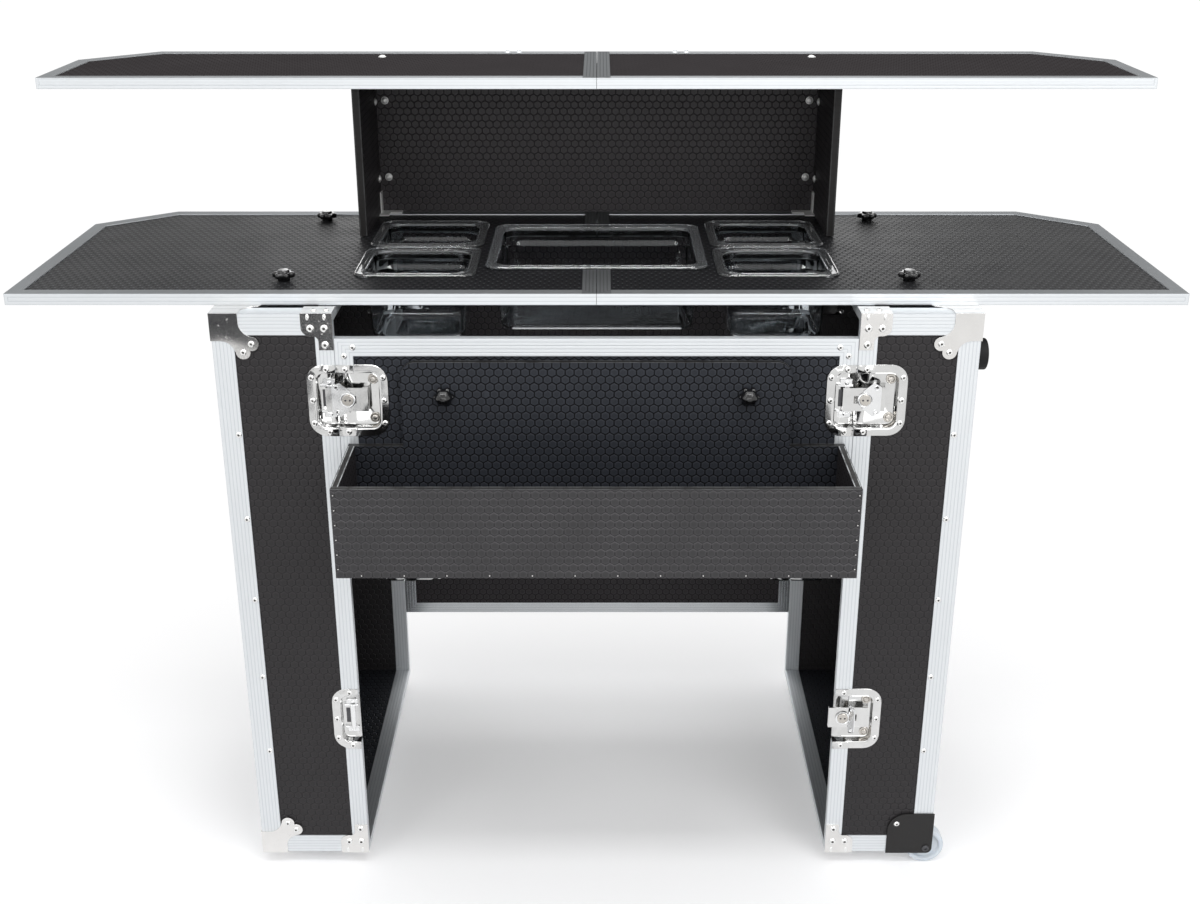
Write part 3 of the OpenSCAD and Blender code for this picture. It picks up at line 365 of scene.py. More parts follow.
def mouldedPlastic(name, tone, roughness, pebble, pebbleScale, sockets):
    look = mouldedLook
    material, shader, coords = startMaterial(name, sockets)
    cloud = grain(coords, *look["cloud"])
    fine = grain(coords, pebbleScale, look["fineDetail"])
    dust = spread(grain(coords, *look["dust"]), *look["dustShow"])
    face = tint(cloud, scaled(tone, look["cloudTone"]), tone)
    share, added, limit = look["dustTone"]
    paler = tuple(min(limit, share * c + added) for c in tone)
    gloss = timesPlus(dust, look["dustGloss"], uneven(fine, look["fineGloss"], roughness))
    feed(shader, {"Base Color": tint(dust, face, paler), "Roughness": gloss})
    relief(shader, fine, pebble)
    return material


clearLook = {
    "ior": 1.5, "tones": ((0.80, 0.83, 0.86), (0.88, 0.91, 0.93)), "cloud": (18, 4), "cloudGloss": 0.01,
    "scratch": (140, 6, (1, 1, 0.15)), "scratchShow": (0.58, 0.75), "scratchGloss": 0.03,
    "wave": (35, 2), "relief": 0.15 * mm,
}


def clearPolycarbonate(name, clear, gloss):
    look = clearLook
    material, shader, coords = startMaterial(name, {"Transmission Weight": clear, "IOR": look["ior"]})
    cloud = grain(coords, *look["cloud"])
    scratch = spread(grain(coords, *look["scratch"]), *look["scratchShow"])
    gloss = timesPlus(scratch, look["scratchGloss"], gloss)
    gloss = timesPlus(cloud, look["cloudGloss"], gloss)
    feed(shader, {"Base Color": tint(cloud, *look["tones"]), "Roughness": gloss})
    relief(shader, grain(coords, *look["wave"]), look["relief"])
    return material


finish = {
    "plated": platedSheet("platedSteel", (0.82, 0.81, 0.795), (0.68, 0.67, 0.655), 0.1, 0.5 * mm),
    "dish": platedSheet("latchDish", (0.74, 0.74, 0.735), (0.58, 0.58, 0.575), 0.1, 0.3 * mm, 45),
    "chrome": platedSheet("latchChrome", (0.88, 0.885, 0.89), (0.74, 0.745, 0.75), 0.12, 0.25 * mm, 60),
    "post": platedSheet("latchPost", (0.60, 0.57, 0.53), (0.46, 0.44, 0.41), 0.22, 0.15 * mm, 60),
    "rivet": platedSheet("brightRivet", (0.87, 0.87, 0.86), (0.77, 0.77, 0.76), 0.2, 0.1 * mm, 80),
    # dark tone partly painted shade of the hole round the stem
    "stem": platedSheet("rivetStem", (0.13, 0.125, 0.12), (0.06, 0.058, 0.055), 0.38, 0.1 * mm, 80),
    "bracket": platedSheet("riserBracket", (0.88, 0.88, 0.87), (0.74, 0.74, 0.73), 0.42, 0.2 * mm, 60, 0.4),
    "bolt": platedSheet("darkBolt", (0.12, 0.12, 0.125), (0.06, 0.06, 0.065), 0.3, 0.1 * mm),
    "knob": mouldedPlastic(
        "knobPlastic", (0.004, 0.004, 0.0045), 0.17, 0.01 * mm, 1400,
        {"Coat Weight": 0.4, "Coat Roughness": 0.06},
    ),
    "coat": mouldedPlastic(
        "castorCoat", (0.020, 0.019, 0.019), 0.55, 0.08 * mm, 900, {"Specular IOR Level": 0.3},
    ),
    "rubber": mouldedPlastic(
        "blackRubber", (0.006, 0.006, 0.0065), 0.6, 0.06 * mm, 700, {"Specular IOR Level": 0.25},
    ),
    "wheel": mouldedPlastic(
        "wheelPlastic", (0.74, 0.80, 0.86), 0.32, 0.03 * mm, 500,
        {"Subsurface Weight": 0.25, "Subsurface Radius": (0.004, 0.005, 0.006), "Subsurface Scale": 1.0},
    ),
    "clear": clearPolycarbonate("clearPolycarbonate", 1.0, 0.005),
    "rim": clearPolycarbonate("clearRim", 0.95, 0.03),
}
print("materials ready")

latchLetters = "abcdefg"
weldReach = 0.01 * mm  # points nearer than this are one


# looks of the nodes that stay as they are
def dress(node, material, rounding=0.0):
    piece = nodes[node]
    for materialSlot in piece.material_slots:
        materialSlot.material = material
    if rounding:
        weld = piece.modifiers.new("weld", "WELD")
        weld.merge_threshold = weldReach
        soften = piece.modifiers.new("soften", "BEVEL")
        soften.width = rounding
        soften.segments = 2
        soften.limit_method = "ANGLE"
        soften.angle_limit = math.radians(38)
        soften.harden_normals = True


# tones of the hexagons' pads and of the grooves between them; the tones set by place paint light and shade: a
# lighter rail front, a lighter rear panel though it stands in shade, and near-black grooves on the front panel
# and inside the rail
legTone = ((0.019, 0.0172, 0.0185), (0.007, 0.0063, 0.007))
riserTone = ((0.041, 0.0375, 0.040), (0.0165, 0.015, 0.0165))
panelTone = ((0.026, 0.0285, 0.035), (0.0015, 0.0015, 0.002))
railTone = ((0.034, 0.033, 0.035), (0.022, 0.021, 0.0225))
upperTone = ((0.036, 0.0325, 0.0335), (0.025, 0.0225, 0.0235))
counterTone = ((0.009, 0.009, 0.010), (0.006, 0.006, 0.007))
boards = {
    # axis of the thickness, tones, what differs from the plain look
    "leg_face_boards": (1, legTone, {"highlightStrokes": 0.3}),
    "leg_end_boards": (0, legTone, {}),
    "leg_caps": (2, panelTone, {}),
    "front_panel": (1, panelTone, {"shine": 0.14}),
    "rear_panel": (1, riserTone, {"shine": 0.14}),
    "counter_left": (2, counterTone, {"shine": 0.1, "highlightDots": 0.11}),
    "counter_right": (2, counterTone, {"shine": 0.1, "highlightDots": 0.11}),
    "upper_boards": (2, upperTone, {"shine": 0.0, "highlightDots": 0.065}),
    "riser_back": (1, riserTone, {"thick": 12}),
    "riser_sides": (0, legTone, {"thick": 12, "edge": 0.12}),
    "rail_back": (1, panelTone, {"thick": 10, "shine": 0.14}),
    "rail_front": (1, railTone, {"thick": 10, "highlightStrokes": 0.6, "edge": 0.35}),
    "rail_ends": (0, legTone, {"thick": 10, "edge": 1.0}),
    "rail_base": (2, panelTone, {"thick": 10}),
}
for node, (axis, tone, look) in boards.items():
    dress(node, hexPly("ply_" + node, axis, *tone, *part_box(node), look))
edgings = {
    # what differs from plain edging: wear, or the size of the clipped corners and the tone of the seam
    "left_leg_edging": {}, "right_leg_edging": {}, "front_panel_edging": {},
    "rear_panel_edging": {"roughness": 0.13, "strength": 0.2},
    "counter_trims": {"clip": (111 * mm, 90 * mm), "seam": 0.38},
    "upper_trims": {"clip": (103 * mm, 102 * mm), "seam": 0.26},
}
for node, look in edgings.items():
    dress(node, ribbedAluminium("ribbed_" + node, *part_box(node), **look))
for node in ("steel_corners", "corner_braces", "handle_dish"):
    dress(node, finish["plated"], 0.4 * mm)
dress("riser_brackets", finish["bracket"], 0.4 * mm)
for letter in latchLetters:
    dress("latch_hook_" + letter, finish["dish"], 0.3 * mm)
dress("castor_housings", finish["coat"], 0.5 * mm)
dress("knob_inserts", finish["bolt"])
print("boards and metalwork dressed")


# mesh helpers, all in the frame's own coordinates
def bridge(bm, first, second, closed=True):
    count = len(first)
    for i in range(count if closed else count - 1):
        j = (i + 1) % count
        bm.faces.new((first[i], first[j], second[j], second[i]))


def loft(bm, rings, closed=True):
    rows = [[bm.verts.new(point) for point in ring] for ring in rings]
    for first, second in zip(rows, rows[1:]):
        bridge(bm, first, second, closed)
    return rows


def solidLoft(bm, rings):
    rows = loft(bm, rings)
    bm.faces.new(rows[0][::-1])
    bm.faces.new(rows[-1])


def standing(point, direction):
    return Matrix.Translation(point) @ Vector(direction).to_track_quat("Z", "Y").to_matrix().to_4x4()


def ring(place, radius, level, steps, lobes=0, lobeShare=0.0):
    points = []
    for i in range(steps):
        angle = turn * i / steps
        r = radius * (1 - lobeShare * (0.5 - 0.5 * math.cos(lobes * angle)))
        points.append(place @ Vector((r * math.cos(angle), r * math.sin(angle), level)))
    return points


def turnedRings(place, profile, steps):
    return [ring(place, r * mm, h * mm, steps) for r, h in profile]


def turned(bm, place, profile, steps):
    solidLoft(bm, turnedRings(place, profile, steps))


def hollowTurned(bm, place, profile, steps):
    rows = loft(bm, turnedRings(place, profile, steps))
    bridge(bm, rows[-1], rows[0])


def plate(bm, place, outline, holes, thick):
    # flat plate with round holes; place takes (across, up, depth) in mm
    loops = [outline] + holes
    sides = []
    for depth in (0, thick):
        edges = []
        rows = []
        for loop in loops:
            row = [bm.verts.new(place(a, b, depth)) for a, b in loop]
            edges += [bm.edges.new((row[i], row[(i + 1) % len(row)])) for i in range(len(row))]
            rows.append(row)
        bmesh.ops.triangle_fill(bm, use_beauty=True, edges=edges)
        sides.append(rows)
    for top, bottom in zip(*sides):
        bridge(bm, top, bottom)


def arc(centre, radius, start, stop, steps):
    angles = [math.radians(start + (stop - start) * i / steps) for i in range(steps + 1)]
    return [(centre[0] + radius * math.cos(a), centre[1] + radius * math.sin(a)) for a in angles]


def circle(centre, radius, steps):
    return arc(centre, radius, 0, 360, steps)[:-1]


def meshObject(name, bm, material):
    mesh = bpy.data.meshes.new(name)
    bm.to_mesh(mesh)
    bm.free()
    mesh.materials.append(material)
    return addObject(name, mesh)


def makePiece(name, bm, body, look, replaced=(), sharp=32, closed=True):
    if closed:
        bmesh.ops.recalc_face_normals(bm, faces=bm.faces[:])
    piece = meshObject(name, bm, finish[look])
    piece.data.shade_smooth()
    piece.data.set_sharp_from_angle(angle=math.radians(sharp))
    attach(piece, body)
    if replaced:
        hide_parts(*replaced)
    return piece


def seated(low, high, outward):
    # foot and direction of a button that fills a flat box; outward has a sign for each axis
    size = high - low
    axis = min(range(3), key=lambda i: size[i])
    direction = Vector((0, 0, 0))
    direction[axis] = outward[axis]
    foot = (low + high) / 2
    foot[axis] = low[axis] if outward[axis] > 0 else high[axis]
    return foot, direction


cornerSigns = [Vector((x, y, z)) for x in (-1, 1) for y in (-1, 1) for z in (-1, 1)]


def boxCorner(box, signs):
    return Vector([box[0 if signs[i] < 0 else 1][i] for i in range(3)])


def islandBoxes(node):
    bm = bmesh.new()
    bm.from_mesh(nodes[node].data)
    bmesh.ops.remove_doubles(bm, verts=bm.verts[:], dist=weldReach)
    left = dict.fromkeys(bm.verts)  # keeps their order
    boxes = []
    while left:
        waiting = [next(iter(left))]
        group = []
        while waiting:
            vert = waiting.pop()
            if vert in left:
                del left[vert]
                group.append(vert.co.copy())
                waiting += [edge.other_vert(vert) for edge in vert.link_edges]
        boxes.append([Vector([pick(p[i] for p in group) for i in range(3)]) for pick in (min, max)])
    bm.free()
    return boxes


def pivotOf(name):
    return next(Vector(joint["pos_m"]) for joint in frame["joints"] if joint["name"] == name)


# clear drop-in pans: stepped, tapered walls under a beaded rim
panShape = {
    "rimHeight": 4.0,
    "rimBand": 4.4,  # this much below the top has the rim's own material
    # inset from the rim's outline, height from the rim's underside, corner radius
    "steps": [
        (28.6, -100, 15), (23.1, -99, 18), (19.8, -96, 20), (18.6, -91, 21), (18.5, -88, 21), (16.5, -29, 22),
        (16.4, -26, 22), (13.8, -22, 22), (13.72, -19.5, 22), (13.28, -4, 22), (13.2, -1.5, 22), (12.6, 0, 22),
        (1.0, 0, 19.3), (0.2, 0.5, 19.7), (0, 1.0, 19.8), (0, 1.6, 19.8), (0.1, 2.0, 19.8), (0.22, 2.15, 19.7),
        (1.48, 3.75, 19.2), (1.6, 3.9, 19.2), (1.9, 4.0, 19.1), (3.2, 4.0, 19), (4.1, 3.2, 19), (4.8, 2.2, 19),
        (8.7, 2.2, 24), (8.8, 2.3, 24), (8.92, 2.45, 24), (10.02, 3.85, 26), (10.14, 4.0, 26), (11.6, 4.0, 28),
        (13.2, 3.1, 30), (14.4, 1.6, 30), (15.2, -1.0, 29), (15.28, -3.5, 29), (15.82, -18.5, 25),
        (15.9, -21, 25), (18.5, -25, 24), (18.6, -28, 24), (20.5, -86.5, 21), (20.6, -89.5, 21),
        (22.1, -94, 19), (25.3, -97, 16), (30.3, -97.5, 13),
    ],
    "cornerSteps": 8,
}
for name in ("pan_middle", "pan_left_front", "pan_left_rear", "pan_right_front", "pan_right_rear"):
    low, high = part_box(name)
    middle = (low + high) / 2
    half = (high - low) / 2
    rings = []
    for inset, level, radius in panShape["steps"]:
        reachX = half.x - (inset + radius) * mm
        reachY = half.y - (inset + radius) * mm
        z = high.z + (level - panShape["rimHeight"]) * mm
        points = []
        for signX, signY, start in ((1, 1, 0), (-1, 1, 90), (-1, -1, 180), (1, -1, 270)):
            centre = (signX * reachX, signY * reachY)
            for a, b in arc(centre, radius * mm, start, start + 90, panShape["cornerSteps"]):
                points.append((middle.x + a, middle.y + b, z))
        rings.append(points)
    bm = bmesh.new()
    solidLoft(bm, rings)
    for face in bm.faces:
        face.material_index = int(face.calc_center_median().z > high.z - panShape["rimBand"] * mm)
    piece = makePiece(name + "_clear", bm, name, "clear", [name])
    piece.data.materials.append(finish["rim"])
print("pans made")


# star knobs with a domed cap, on threaded studs
starKnob = {
    "lobes": 6, "lobeDepth": 0.26, "facets": 96,
    # share of the radius, share of the height, share of the lobes' depth
    "counterSteps": [
        (0.50, 0.0, 0), (0.53, 0.03, 0), (0.55, 0.22, 0), (0.62, 0.26, 1), (0.90, 0.29, 1), (0.98, 0.35, 1),
        (1.0, 0.42, 1), (1.0, 0.62, 1), (0.97, 0.70, 1), (0.88, 0.76, 1), (0.74, 0.79, 1), (0.56, 0.79, 0),
        (0.54, 0.84, 0), (0.52, 0.92, 0), (0.46, 0.98, 0), (0.30, 1.0, 0), (0.10, 1.0, 0),
    ],
    "railSteps": [
        (0.50, 0.0, 0), (0.55, 0.03, 0), (0.62, 0.06, 1), (0.92, 0.08, 1), (1.0, 0.13, 1), (1.0, 0.34, 1),
        (0.97, 0.41, 1), (0.92, 0.45, 1), (0.84, 0.48, 0.3), (0.82, 0.58, 0.3), (0.76, 0.71, 0.35),
        (0.66, 0.83, 0.35), (0.52, 0.92, 0.3), (0.34, 0.98, 0.2), (0.12, 1.0, 0),
    ],
    "counterHeight": 0.82,  # the counter's knobs are a little flatter
    "counterRadius": 16 * mm, "railRadius": 14.5 * mm,
    "threadPitch": 1.25, "threadDepth": 0.55, "studRadius": 4.0, "studTip": 0.9, "studSunk": 0.05,
}


def makeKnob(name, kind, place, height, studLength):
    bm = bmesh.new()
    rings = []
    for reach, level, lobed in starKnob[kind + "Steps"]:
        radius = reach * starKnob[kind + "Radius"]
        share = starKnob["lobeDepth"] * lobed
        rings.append(ring(place, radius, level * height, starKnob["facets"], starKnob["lobes"], share))
    solidLoft(bm, rings)
    half = starKnob["threadPitch"] / 2
    stud = starKnob["studRadius"]
    thread = [(stud, starKnob["studSunk"])]
    for i in range(1, int(studLength / mm / half)):
        thread.append((stud - (0.0 if i % 2 else starKnob["threadDepth"]), -i * half))
    thread.append((stud - starKnob["studTip"], -studLength / mm))
    turned(bm, place, thread, 20)
    makePiece(name + "_star", bm, name, "knob", [name])


for name in ("knob_left_front", "knob_left_rear", "knob_right_front", "knob_right_rear"):
    low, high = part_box(name)
    middle = (low + high) / 2
    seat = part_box("pan_left_front")[1].z - panShape["rimHeight"] * mm  # top of the counter board
    place = standing((middle.x, middle.y, seat), (0, 0, 1))
    height = starKnob["counterHeight"] * (high.z - seat)
    makeKnob(name, "counter", place, height, seat - low.z)
for name in ("rail_knob_left", "rail_knob_right"):
    low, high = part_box(name)
    middle = (low + high) / 2
    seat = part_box("rail_back")[0].y
    place = standing((middle.x, seat, middle.z), (0, -1, 0))
    makeKnob(name, "rail", place, seat - low.y, high.y - seat)
print("knobs made")


# castor wheels with a crowned tread, a recessed web and a hub
castorWheel = {
    "width": 24,
    # radius and distance from one side, up to the middle of the tread
    "section": [
        (4.06, 0.9), (8.2, 0.9), (9.4, 1.9), (10.2, 4.2), (20.6, 4.6), (22.0, 2.0), (22.8, 0.6), (23.8, 0.1),
        (27.2, 0.1), (28.6, 0.7), (29.5, 2.2), (29.9, 5.0), (30.0, 9.0),
    ],
}
section = castorWheel["section"] + [(r, castorWheel["width"] - d) for r, d in reversed(castorWheel["section"])]
for side in ("front", "rear"):
    node = "castor_wheel_" + side
    low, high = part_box(node)
    middle = (low + high) / 2
    bm = bmesh.new()
    hollowTurned(bm, standing((middle.x, low.y, middle.z), (0, 1, 0)), section, 64)
    makePiece("wheel_" + side + "_tread", bm, "wheel_" + side, "wheel", [node])

# axle bolts with a hexagon socket, and the castors' inner ends
axleBolt = {
    "bolt": (4.0, 5.5, 2.0, 0.5),  # radius of the shank, radius and height of the head, bevel
    "steps": 24, "socket": 2.6, "socketMouth": 0.6, "socketLevels": (-0.2, -1.5),
}
bm = bmesh.new()
for low, high in islandBoxes("castor_axles"):
    outward = -1 if low.y + high.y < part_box("rear_panel")[0].y else 1
    face, inner = (low.y, high.y) if outward < 0 else (high.y, low.y)
    place = standing(((low.x + high.x) / 2, face, (low.z + high.z) / 2), (0, outward, 0))
    shank, head, depth, bevel = axleBolt["bolt"]
    profile = [
        (shank, -abs(face - inner) / mm), (shank, -depth), (head, -depth), (head, -bevel), (head - bevel, 0),
        (axleBolt["socket"] + axleBolt["socketMouth"], 0),
    ]
    rings = turnedRings(place, profile, axleBolt["steps"])
    for level in axleBolt["socketLevels"]:
        corners = []
        for i in range(axleBolt["steps"]):
            angle = turn * i / axleBolt["steps"]
            fold = (angle + turn / 12) % (turn / 6) - turn / 12
            r = axleBolt["socket"] * math.cos(turn / 12) / math.cos(fold)
            corners.append(place @ Vector((r * math.cos(angle) * mm, r * math.sin(angle) * mm, level * mm)))
        rings.append(corners)
    solidLoft(bm, rings)
makePiece("axle_bolts", bm, "case", "bolt", ["castor_axles"])

# rubber bumpers on the end and feet under the left leg, each with a sunk screw
rubberShape = {
    "bevel": 0.4, "lip": 2.6, "lipSteps": 6,
    "screw": (5.2, 0.6, 1.6, 2.5),  # radius, more at the throat and at the mouth, depth
}


def rubberButton(bm, place, radius, height):
    bevel, lip = rubberShape["bevel"], rubberShape["lip"]
    screw, throat, mouth, sink = rubberShape["screw"]
    profile = [(radius - bevel, 0), (radius, bevel)]
    profile += arc((radius - lip, height - lip), lip, 0, 90, rubberShape["lipSteps"])
    profile += [(screw + mouth, height), (screw + throat, height - throat), (screw, height - sink)]
    turned(bm, place, profile, 40)


for node, name in (("end_bumpers", "end_bumper_buttons"), ("floor_feet", "floor_foot_buttons")):
    bm = bmesh.new()
    for low, high in islandBoxes(node):
        size = high - low
        rubberButton(bm, standing(*seated(low, high, (1, 1, -1))), max(size) / 2 / mm, min(size) / mm)
    makePiece(name, bm, "case", "rubber", [node])
print("wheels, bumpers and feet made")


# blind rivets: a domed head with the broken stem left in its hole; the stem's dark tone is partly its own and
# partly painted shade of the hole
rivetShape = {
    "head": [(4.2, 0), (4.15, 0.5), (3.6, 1.2), (2.7, 1.65), (1.9, 1.8), (1.55, 1.72), (1.45, 0.6), (0.6, 0.4)],
    "stem": [(1.3, 0.45), (1.3, 1.2), (1.0, 1.36)],
    # scale at each place
    "edging": 1.04, "brace": 1.28, "corner": 1.1, "dish": 1.05,
}
stems = bmesh.new()
caseMiddle = (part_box("leg_face_boards")[0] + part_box("leg_face_boards")[1]) / 2


def rivet(bm, point, direction, kind):
    place = standing(point, direction)
    for mesh, part, steps in ((bm, "head", 18), (stems, "stem", 12)):
        turned(mesh, place, [(r * rivetShape[kind], h * rivetShape[kind]) for r, h in rivetShape[part]], steps)


braceShape = {"wide": 43, "high": 53, "flapRivets": (10, 27), "flapInset": 17}
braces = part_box("corner_braces")
braceStart = braces[1].x - braceShape["wide"] * mm


def onBrace(point):
    beside = braceStart < abs(point.x) < braces[1].x
    return beside and min(point.z - braces[0].z, braces[1].z - point.z) < braceShape["high"] * mm


bm = bmesh.new()
for low, high in islandBoxes("case_rivets"):
    middle = (low + high) / 2
    outward = [1 if middle[i] > caseMiddle[i] else -1 for i in range(3)]
    rivet(bm, *seated(low, high, outward), "brace" if onBrace(middle) else "edging")
for sign in (-1, 1):
    for across in braceShape["flapRivets"]:
        # rivets on the braces' top flaps, in front of the counter
        x = sign * (braceStart + across * mm)
        rivet(bm, (x, braces[0].y + braceShape["flapInset"] * mm, braces[1].z), (0, 0, 1), "edging")
makePiece("edging_rivets", bm, "case", "rivet", ["case_rivets"])

# raised beads pressed beside the bend of each brace
bendBead = {
    "across": (10, 33), "wide": 2.7, "long": 4.6, "high": 0.9, "fromBend": 0.8, "sunk": 0.05,
    # share of the size, share of the height
    "rings": [(1, 0), (0.9, 0.45), (0.62, 0.85), (0.2, 1)],
}
bm = bmesh.new()
for signs in cornerSigns:
    edge = boxCorner(braces, signs)
    z = edge.z - signs.z * (bendBead["long"] + bendBead["fromBend"]) * mm
    for across in bendBead["across"]:
        x = signs.x * (braceStart + across * mm)
        rows = []
        for share, level in bendBead["rings"]:
            y = edge.y + signs.y * (level * bendBead["high"] - bendBead["sunk"]) * mm
            oval = circle((0, 0), share * mm, 16)
            rows.append([(x + bendBead["wide"] * a, y, z + bendBead["long"] * b) for a, b in oval])
        solidLoft(bm, rows)
makePiece("brace_beads", bm, "case", "rivet")

# rivets on the lobes of the steel corners
steelCorner = {"lobes": [(54 * mm, 42 * mm), (42 * mm, 54 * mm)], "thick": 1.5 * mm}
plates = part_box("steel_corners")
bm = bmesh.new()
for signs in cornerSigns:
    if signs.x > 0 and signs.z < 0:
        continue  # a castor's place
    corner = boxCorner(plates, signs)
    inner = corner - signs * steelCorner["thick"]
    for near, far in steelCorner["lobes"]:
        z = inner.z - signs.z * far
        rivet(bm, (inner.x - signs.x * near, corner.y, z), (0, signs.y, 0), "corner")
        if signs.x < 0:
            rivet(bm, (corner.x, inner.y - signs.y * near, z), (signs.x, 0, 0), "corner")
makePiece("corner_rivets", bm, "case", "rivet")
print("rivets made")


# recessed latches: pressed half dishes, a post, a keeper bracket and wings
latchShape = {
    "height": 105, "drive": 71, "keeper": 41, "corner": 24, "leastCorner": 3.0, "cornerSteps": 7, "rim": 13,
    "pivot": 14, "pivotDepth": 2.75, "gap": 0.5, "sheet": 1.0,
    # where the flange drops from the channel to the board, how far, and between which distances
    "stepAt": 25, "step": 1.5, "stepRun": (-0.2, 0.3),
    "flangeDepth": 0.1,  # rows above this are the flange
    # inset from the flange's outline, depth behind the case's face
    "section": [
        (0, 0.0), (0, -0.8), (0.4, -1.2), (8.5, -1.2), (10.6, -1.15), (11.9, -0.7), (12.7, 0.3), (13.0, 1.6),
        (13.4, 9.2), (14.2, 11.0), (16.2, 11.9),
    ],
    "rivetDepth": -1.2, "rivetUp": 0.32,  # share of the height
    "post": [(5, -11.9), (5, -1.9), (7.6, -1.8), (8, -1.4), (8, -1.0), (7.5, -0.6)],
    "boss": [
        (7.5, 0), (7.3, 1.3), (6.6, 1.8), (4.9, 1.8), (4.6, 1.2), (4.3, 1.2), (4.2, 2.6), (3.2, 3.4), (1, 3.6),
    ],
    "bossAt": (49.5, 28.5, 11.8),
    "dimple": [(1.5, -0.3), (1.5, 0.04), (1.0, 0.05)],
    "dimpleAt": (3.2, 0.62),
}
turns = {letter: pivotOf("latch_" + letter + "_turn") for letter in latchLetters}


class Latch:
    def __init__(self, pivot):
        self.x = pivot.x - latchShape["pivot"] * mm
        self.z = pivot.z
        self.inward = 1 if pivot.y < caseMiddle.y else -1
        self.outward = (0, -self.inward, 0)
        self.face = pivot.y - self.inward * latchShape["pivotDepth"] * mm

    def at(self, across, up, depth):
        return Vector((self.x + across * mm, self.face + self.inward * depth * mm, self.z + up * mm))

    def stand(self, across, up, depth):
        return standing(self.at(across, up, depth), self.outward)


def halfDish(bm, latch, side, length):
    rings = []
    for inset, depth in latchShape["section"]:
        end = length - inset
        h = latchShape["height"] / 2 - inset
        r = max(latchShape["leastCorner"], latchShape["corner"] - inset)
        path = [(latchShape["gap"], h)]
        bend = [s for s in [latchShape["stepAt"] + run for run in latchShape["stepRun"]] if s < end - r]
        path += [(s, h) for s in bend]
        path += arc((end - r, h - r), r, 90, 0, latchShape["cornerSteps"])
        path += arc((end - r, r - h), r, 0, -90, latchShape["cornerSteps"])
        path += [(s, -h) for s in reversed(bend)] + [(latchShape["gap"], -h)]
        points = []
        for a, b in path:
            dropped = a > latchShape["stepAt"] and depth < latchShape["flangeDepth"]
            drop = latchShape["step"] if dropped else 0.0
            points.append(latch.at(side * a, b, depth + drop))
        rings.append(points)
    rows = loft(bm, rings, closed=False)
    bm.faces.new(rows[-1])


def dishRivets(bm, latch, side, length):
    rim = latchShape["rim"]
    height = latchShape["height"]
    upper = latchShape["rivetDepth"]
    lower = upper + latchShape["step"]
    spots = []
    for up in (-1, 1):
        spots.append((rim, up * (height - rim) / 2, upper))
        spots.append((length - rim / 2, up * height * latchShape["rivetUp"], lower))
    spots.append((length - rim / 2, 0, lower))
    for across, up, depth in spots:
        rivet(bm, latch.at(side * across, up, depth), latch.outward, "dish")


def block(bm, latch, acrossLow, acrossHigh, upLow, upHigh, depthLow, depthHigh, c, up=1):
    # c is the chamfer, up -1 mirrors the block
    outline = [
        (acrossLow + c, upLow), (acrossHigh - c, upLow), (acrossHigh, upLow + c), (acrossHigh, upHigh - c),
        (acrossHigh - c, upHigh), (acrossLow + c, upHigh), (acrossLow, upHigh - c), (acrossLow, upLow + c),
    ]
    middle = ((acrossLow + acrossHigh) / 2, (upLow + upHigh) / 2)
    rings = []
    for shrink, depth in ((c, depthLow), (0, depthLow + c), (0, depthHigh)):
        points = []
        for a, b in outline:
            inA = a - math.copysign(shrink, a - middle[0])
            inB = b - math.copysign(shrink, b - middle[1])
            points.append(latch.at(inA, up * inB, depth))
        rings.append(points)
    solidLoft(bm, rings)


def dishPiece(name, halves, side, length, node):
    bm = bmesh.new()
    for latch in halves:
        start = len(bm.faces)
        halfDish(bm, latch, side, length)
        bm.faces.ensure_lookup_table()
        fresh = bm.faces[start:]
        bmesh.ops.recalc_face_normals(bm, faces=fresh)
        floor = fresh[-1]
        floor.normal_update()
        if floor.normal.y * -latch.inward < 0:
            bmesh.ops.reverse_faces(bm, faces=fresh)
    piece = makePiece(name, bm, "case", "dish", [node], 40, closed=False)
    shell = piece.modifiers.new("sheet", "SOLIDIFY")
    shell.thickness = latchShape["sheet"] * mm
    shell.offset = -1


latches = {letter: Latch(pivot) for letter, pivot in turns.items()}
spare = Latch(Vector((turns["a"].x, turns["c"].y, turns["c"].z)))
keeperHalves = [latches[letter] for letter in "abdefg"] + [spare]
driveHalves = list(latches.values())
bm = bmesh.new()
for kind, halves, side in (("keeper", keeperHalves, -1), ("drive", driveHalves, 1)):
    dishPiece(kind + "_dishes", halves, side, latchShape[kind], "latch_" + kind + "s")
    for latch in halves:
        dishRivets(bm, latch, side, latchShape[kind])
makePiece("dish_rivets", bm, "case", "rivet")
makePiece("rivet_stems", stems, "case", "stem")

keeperShape = {
    # across from and to, up from and to, depth from and to, chamfer
    "bar": (-14.8, -7.8, -20.8, 20.8, 6.2, 11.8, 0.8),
    "cheek": (-24, -3, 17.8, 20.8, 7.5, 11.8, 0.5),
    "foot": (-21, -4, 18.5, 28.5, 10.2, 11.8, 0.6),
    "slot": (-22, -16, -12.5, 12.5, 11.2, 11.85, 0.3),
    "rivet": [(3, 0), (2.8, 0.8), (1.6, 1.4), (0.5, 1.5)],
    "rivetAt": (-12, 23.5, 10.2),
}
bm = bmesh.new()
# dark plates on the keeper dishes' floors where the slots open: painted shade of the slots
slotShades = bmesh.new()
for latch in keeperHalves:
    block(bm, latch, *keeperShape["bar"])
    block(slotShades, latch, *keeperShape["slot"])
    across, up, depth = keeperShape["rivetAt"]
    for sign in (-1, 1):
        block(bm, latch, *keeperShape["cheek"], sign)
        block(bm, latch, *keeperShape["foot"], sign)
        turned(bm, latch.stand(across, sign * up, depth), keeperShape["rivet"], 14)
makePiece("keeper_brackets", bm, "case", "chrome", ["latch_keepers"])

